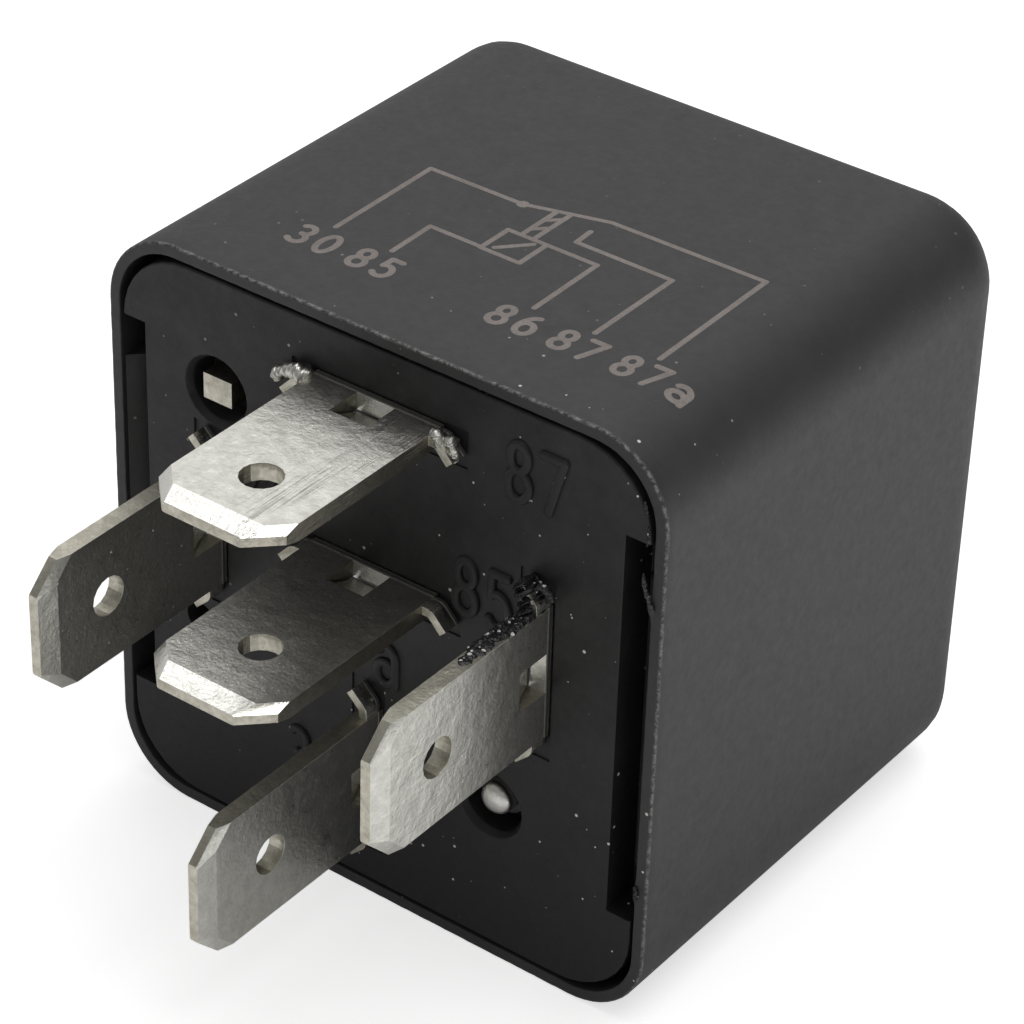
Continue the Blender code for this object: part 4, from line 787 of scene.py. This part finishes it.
def mark_worked(mesh, upright):
    """Three face values, each one or nothing. Sheared: the normal lies in the sheet's plane.
    Pressed: it slopes against the sheet, as on a lance and a flat blade's tip, or is the wall in
    front of a lance; the tin finish paints these faces with a highlight. Stained: a flat blade's
    long edges."""
    normal, centre = np.empty((2, len(mesh.polygons) * 3), np.float32)
    mesh.polygons.foreach_get("normal", normal)
    mesh.polygons.foreach_get("center", centre)
    normal, place = normal.reshape(-1, 3), centre.reshape(-1, 3) / MM
    across = np.abs(normal[:, 0 if upright else 2])
    wall = (normal[:, 1] < -0.9) & (np.abs(place[:, 1] + LANCE_SILL) < 0.05)
    slope = (across > 0.5) & (across < 0.99) & (place[:, 1] > (-NEAR_BASE if upright else -np.inf))
    stained = (np.abs(normal[:, 0]) > 0.9) & (not upright)
    values = {"sheared": (across < 0.5) & ~wall, "pressed_highlight": slope | wall, "stained": stained}
    for name, chosen in values.items():
        field = mesh.attributes.new(name, "FLOAT", "FACE")
        field.data.foreach_set("value", chosen.astype(np.float32))


def break_edges(piece, width, angle):
    """Three bevel faces on every edge sharper than an angle. Normals weighted by area keep the
    broad faces flat, so only the narrow ones turn the light."""
    rounding = piece.modifiers.new("broken_edges", "BEVEL")
    rounding.width = width * MM
    rounding.segments = 3
    rounding.limit_method = "ANGLE"
    rounding.angle_limit = np.radians(angle)
    weighting = piece.modifiers.new("flat_faces", "WEIGHTED_NORMAL")
    weighting.weight = 100


BLADES = {"30": True, "85": True, "86": True, "87": False, "87a": False}
for number, upright in BLADES.items():
    mesh = merged_copy("blade_" + number, "terminal_" + number)
    mark_worked(mesh, upright)
    blade = add_piece("blade_" + number, mesh, tin_finish)
    break_edges(blade, 0.08, 9)
    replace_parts(blade, "terminal_" + number)

base_piece = add_piece("base_header", merged_copy("base_header", "base"), base_finish)
break_edges(base_piece, 0.04, 25)
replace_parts(base_piece, "base")

# %% [markdown]
# ## Lugs, curls and swarf
# When the blades are pressed through the base, their lugs shave tin and plastic, and some of it hangs
# on. A scan could give such scraps, but an oval section carried along a short bent line, its size
# uneven on the way, looks the same at this size.


# %% Scraps
def flowing(points, count=60):
    """A smooth line through points: between two neighbours, the cubic whose slope at each is half
    the step from the point before it to the point after it."""
    points = np.array(points, float)
    wide = np.concatenate([2 * points[:1] - points[1:2], points, 2 * points[-1:] - points[-2:-1]])
    run = np.linspace(0, len(points) - 1 - 1e-9, count)
    step = run.astype(int)
    part = (run - step)[:, None]
    before, here, ahead, after = (wide[step + shift] for shift in range(4))
    bent = 2 * before - 5 * here + 4 * ahead - after
    twisted = 3 * here - 3 * ahead + after - before
    return here + 0.5 * part * (ahead - before + part * (bent + part * twisted))


def rod(path, across, deep, normal, around=10):
    """An oval carried along a path: at each point its centre plus across times a cosine to the side,
    in the plane of the given normal, plus deep times a sine at right angles to that."""
    ahead = np.gradient(path, axis=0)
    ahead /= np.linalg.norm(ahead, axis=1, keepdims=True)
    sideways = np.cross(ahead, normal)
    sideways /= np.linalg.norm(sideways, axis=1, keepdims=True)
    upwards = np.cross(sideways, ahead)
    turn = np.linspace(0, 2 * np.pi, around, endpoint=False)[None, :, None]
    across, deep = (np.broadcast_to(size, len(path))[:, None, None] for size in (across, deep))
    aside, above = across * np.cos(turn) * sideways[:, None], deep * np.sin(turn) * upwards[:, None]
    return closed_shell(path[:, None] + aside + above)


def scrap(points, across, deep, seed, normal=(0, 1, 0), pitch=0.3):
    """A rod whose two half sizes vary raggedly along it, at a pitch in shares of its length, and
    shrink at both ends."""
    path = flowing(points)
    share = np.linspace(0, 1, len(path))
    ends = np.sqrt(np.clip(1 - np.abs(2 * share - 1) ** 6, 0.03, 1))
    thick = across * ends * (1 + 0.4 * ragged(share, seed, pitch))
    tall = deep * ends * (1 + 0.4 * ragged(share, seed + 1, 0.7 * pitch))
    return rod(path, thick, tall, normal)


TIN_CURLS = [
    ([(-2.9, -0.45, 10.9), (-3.4, -0.5, 11.05), (-4.0, -0.52, 11.0), (-4.5, -0.5, 10.75)], 0.36, 0.36, 3),
    ([(-4.2, -0.5, 10.9), (-4.6, -0.5, 10.6), (-4.5, -0.5, 10.3)], 0.22, 0.3, 4),
    ([(3.1, -0.45, 11.0), (3.5, -0.6, 11.1), (3.72, -0.6, 10.8), (3.7, -0.6, 10.4)], 0.2, 0.3, 5),
    ([(3.85, -0.4, 10.95), (4.2, -0.5, 10.95), (4.3, -0.5, 10.5), (4.28, -0.45, 10.05)], 0.2, 0.26, 8),
]
tin_shells = [scrap(*curl, pitch=1.2) for curl in TIN_CURLS]
add_piece("tin_curls", shells_mesh("tin_curls", tin_shells, 60), tin_finish)

# %% Swarf of the base
swarf_finish, tree, shader, vector = new_finish("glossy_swarf")
crumple = use_group(tree, skin, vector, Cloud=0.5, Grain=0.14, Depth=0.00006)
glint = use_group(tree, dust, vector, Spacing=0.26, Size=0.13)["Mask"]
black = mix_colour(tree, crumple["Tone"], BLACK, (0.03, 0.03, 0.031, 1))
feed(tree, shader.inputs["Base Color"], mix_colour(tree, glint, black, (0.78, 0.77, 0.75, 1)))
feed(tree, shader.inputs["Roughness"], remap(tree, crumple["Shine"], 0.0, 1.0, 0.14, 0.3))
feed(tree, shader.inputs["Normal"], crumple["Normal"])
UP = (0, 0, 1)
SWARF = [
    ([(8.32, -0.5, 4.85), (8.3, -0.5, 5.3), (8.05, -0.5, 5.75), (7.76, -0.5, 6.2)], 0.4, 0.68, 9),
    ([(7.7, -0.4, 4.9), (7.75, -0.5, 5.5), (8.2, -0.55, 5.75), (8.45, -0.5, 5.4), (8.2, -0.45, 5.0)],
     0.13, 0.17, 11),
    ([(8.3, -0.4, 5.3), (8.45, -0.5, 6.0), (8.9, -0.55, 6.2), (9.15, -0.5, 5.8), (8.9, -0.4, 5.3)],
     0.13, 0.17, 14),
    ([(8.35, -0.5, 5.0), (8.42, -2.0, 5.02), (8.3, -3.6, 5.0), (8.4, -5.3, 5.0)], 0.36, 0.09, 17, UP),
    ([(8.6, -0.6, 5.05), (8.68, -1.8, 5.08), (8.6, -3.0, 5.04)], 0.16, 0.12, 20, UP),
    ([(8.2, -1.4, 5.05), (8.12, -2.6, 5.1), (8.2, -4.4, 5.02)], 0.14, 0.1, 23, UP),
    ([(13.05, -0.06, 8.5), (13.2, -0.14, 7.95), (13.42, -0.15, 7.4), (13.62, -0.1, 6.9)], 0.1, 0.09, 26),
    ([(12.9, -0.02, 11.7), (13.05, -0.09, 11.4), (13.1, -0.06, 11.1)], 0.07, 0.06, 32),
    ([(13.14, -0.02, 10.6), (13.24, -0.09, 10.3), (13.2, -0.04, 9.95)], 0.09, 0.07, 35),
    ([(13.45, -0.04, -6.6), (13.55, -0.1, -6.9), (13.5, -0.05, -7.3)], 0.1, 0.08, 29),
]
swarf_shells = [scrap(*piece) for piece in SWARF]
add_piece("base_swarf", shells_mesh("base_swarf", swarf_shells, 60), swarf_finish)

# %% [markdown]
# ## Inside the case
# The magnet and the contacts are out of sight, yet they keep real finishes, because the part may be
# opened or cut in a drawing. Most solids stay as they are and only get a material, whose colour and
# gloss follow one of the groups.


# %% Inner finishes
def inner_finish(name, low, high, gloss, metallic, group, **settings):
    """A finish whose colour and gloss follow a group's tone."""
    material, tree, shader, vector = new_finish(name, Metallic=metallic)
    parts = use_group(tree, group, vector, **settings)
    feed(tree, shader.inputs["Base Color"], mix_colour(tree, parts["Tone"], (*low, 1), (*high, 1)))
    feed(tree, shader.inputs["Roughness"], remap(tree, parts["Tone"], 0.0, 1.0, *gloss))
    feed(tree, shader.inputs["Normal"], parts["Normal"])
    return material


INNER = {
    "iron": inner_finish(
        "zinc_on_iron", (0.45, 0.47, 0.49), (0.62, 0.63, 0.63),
        (0.45, 0.32), 1.0, drawn, Scratches=0.6,
    ),
    "spool_plastic": inner_finish(
        "cream_spool", (0.5, 0.47, 0.4), (0.62, 0.59, 0.5),
        (0.5, 0.6), 0.0, skin, Depth=0.00001,
    ),
    "enamelled_copper": inner_finish(
        "copper_enamel", (0.3, 0.09, 0.03), (0.48, 0.17, 0.06),
        (0.2, 0.3), 0.35, drawn, Wrinkles=0.2,
    ),
    "solder": inner_finish(
        "solder_dome", (0.5, 0.51, 0.52), (0.7, 0.71, 0.72),
        (0.38, 0.22), 1.0, drawn, Scratches=0.1,
    ),
    "spring_bronze": inner_finish(
        "bronze_leaf", (0.62, 0.38, 0.2), (0.78, 0.52, 0.3),
        (0.38, 0.28), 1.0, drawn, Scratches=0.7,
    ),
    "contact_silver": inner_finish(
        "silver_contact", (0.74, 0.73, 0.7), (0.88, 0.87, 0.84),
        (0.36, 0.26), 1.0, drawn, Scratches=0.2,
    ),
    "rivet": inner_finish(
        "rivet_steel", (0.58, 0.57, 0.54), (0.76, 0.75, 0.71),
        (0.4, 0.26), 1.0, drawn, Scratches=0.2,
    ),
}
KEPT_NODES = {
    "iron": ["yoke", "core", "armature"],
    "spool_plastic": ["bobbin"],
    "solder": ["solder_85", "solder_86"],
    "contact_silver": ["moving_contact", "contact_87", "contact_87a"],
    "rivet": ["armature_rivet_right", "armature_rivet_left", "yoke_rivet_right", "yoke_rivet_left"],
}
for finish, nodes in KEPT_NODES.items():
    for node in nodes:
        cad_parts[node].data.materials.clear()
        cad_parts[node].data.materials.append(INNER[finish])
print("finished inner solids:", sum(len(nodes) for nodes in KEPT_NODES.values()))

# %% [markdown]
# ## The leaf spring
# One end of the leaf is riveted to the yoke and the other to the armature, so it bends when the
# armature swings. A piece that rides one body would stay stiff, so here the leaf rides on no body:
# it is a merged copy of the model's spring, its place baked into its points.

# %% Leaf spring
leaf_mesh = merged_copy("contact_leaf", "contact_spring")
leaf_mesh.set_sharp_from_angle(angle=np.radians(30))
leaf = add_piece("contact_leaf", leaf_mesh, INNER["spring_bronze"], rides=False)
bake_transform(leaf)
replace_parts(leaf, "contact_spring")

# %% [markdown]
# ## The winding
# Many turns of enamelled wire lie on the spool. Each could be a wire of its own, but only the outer
# ones show, so the layers below are one barrel with fine ridges, and a helix of round wire
# goes over it. Both ends run straight to their posts.

# %% Winding
COIL_Z, WIRE_PATH, WIRE = -2.2, 6.15, 0.15
POST_X, POST_Y, POST_Z = 7.75, 7.45, 3.6


def barrel_rings(low=6.7, high=15.3, hub=4.0, layers=5.9, pitch=0.3):
    """A section carried round the coil's axis: straight inside, and outside a row of wire rounds,
    the outer radius less a share of one minus the absolute sine along the axis."""
    level = np.linspace(low, high, 6 * int((high - low) / pitch) + 1)
    ridge = layers - 0.08 * (1 - np.abs(np.sin(np.pi * (level - low) / pitch)))
    radius = np.concatenate([ridge, [hub, hub]])
    level = np.concatenate([level, [high, low]])
    turn = np.linspace(0, 2 * np.pi, 64, endpoint=False)[:, None]
    shape = (64, len(level))
    height = COIL_Z + radius * np.sin(turn)
    return np.stack([radius * np.cos(turn), np.broadcast_to(level, shape), height], axis=-1)


def wire_path(side, level, sweep, rise):
    """From a post straight to the winding, then round it: the angle grows by the sweep and the place
    along the axis by the rise."""
    high, away = POST_Z - COIL_Z, np.hypot(POST_X, POST_Z - COIL_Z)
    touch = np.arctan2(high, side * POST_X) + side * np.arccos(WIRE_PATH / away)
    run = np.linspace(0, 1, max(12, int(abs(sweep) * 8)))
    angle = touch + sweep * run
    height = COIL_Z + WIRE_PATH * np.sin(angle)
    turns = np.stack([WIRE_PATH * np.cos(angle), level + rise * run, height], axis=-1)
    post = np.array([side * POST_X, POST_Y, POST_Z])
    lead = post + np.linspace(0, 1, 9)[:-1, None] * (turns[0] - post)
    return np.concatenate([lead, turns])


ALONG_COIL = (0, 1, 0)
copper = INNER["enamelled_copper"]
barrel_mesh = shells_mesh("coil_barrel", [closed_ring(barrel_rings())], 70)
outer_rod = rod(wire_path(1, 7.825, 18 * np.pi, 6.75), WIRE, WIRE, ALONG_COIL)
outer_mesh = shells_mesh("coil_outer_turns", [outer_rod], 60)
inner_rod = rod(wire_path(-1, 7.075, -np.radians(70), 0.0), WIRE, WIRE, ALONG_COIL)
inner_mesh = shells_mesh("coil_inner_end", [inner_rod], 60)
for mesh, node in ((barrel_mesh, "coil_layers"), (outer_mesh, "coil_wire"), (inner_mesh, "coil_lead")):
    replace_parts(add_piece(mesh.name, mesh, copper), node)

# %% [markdown]
# ## The hammered rivet
# The rivet that holds the yoke shows its round end in the lower right pit. It is a turned piece, so
# one profile is carried round its axis, and three shallow dents make the end look hammered.


# %% Hammered rivet
def turned_rings(profile, x, z, around=40, dent=0.0):
    """Each (radius, height) of the profile carried round an axis along Y, with three shallow dents."""
    radius, height = np.array(profile).T[:, :, None]
    turn = np.linspace(0, 2 * np.pi, around, endpoint=False)
    radius = radius * (1 + dent * np.cos(3 * turn + 0.6))
    return np.stack([x + radius * np.cos(turn), height + 0 * turn, z + radius * np.sin(turn)], axis=-1)


rivet_finish, tree, shader, vector = new_finish("hammered_steel")
parts = use_group(tree, drawn, vector, Scratches=0.2, Wrinkles=1.0, Depth=0.00004)
depth = add(tree, "SeparateXYZ", Vector=in_mm(tree, vector)).outputs["Y"]
# Painted shade: deeper in the pit, from 0.55 to 0.95 mm, the steel is painted near black and not metal.
painted_shade = remap(tree, depth, 0.55, 0.95, 0.0, 0.94)
steel = mix_colour(tree, parts["Tone"], (0.55, 0.54, 0.51, 1), (0.76, 0.75, 0.71, 1))
feed(tree, shader.inputs["Base Color"], mix_colour(tree, painted_shade, steel, BLACK))
feed(tree, shader.inputs["Metallic"], calc(tree, "SUBTRACT", 1.0, painted_shade))
feed(tree, shader.inputs["Roughness"], remap(tree, parts["Tone"], 0.0, 1.0, 0.42, 0.3))
feed(tree, shader.inputs["Normal"], parts["Normal"])

sine, cosine = quarter(9)
dome = np.stack([0.02 + 0.73 * sine, 0.5 - 0.4 * cosine], axis=-1)
shank = [
    (0.75, 1.05), (1.03, 1.05), (1.05, 1.08), (1.05, 1.52),
    (1.03, 1.55), (0.75, 1.55), (0.75, 5.62), (0.7, 5.65),
]
RIVET_X, RIVET_Z = 6.1, -6.1
rivet_rings = turned_rings(np.concatenate([dome, shank]), RIVET_X, RIVET_Z, dent=0.02)
rivet_mesh = shells_mesh("hammered_rivet", [closed_shell(rivet_rings)], 35)
rivet = add_piece("hammered_rivet", rivet_mesh, rivet_finish)
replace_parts(rivet, "frame_rivet")

# %% Size and finish
print("solid model", [round((b - a) / MM, 2) for a, b in zip(*cad_box)], "mm")
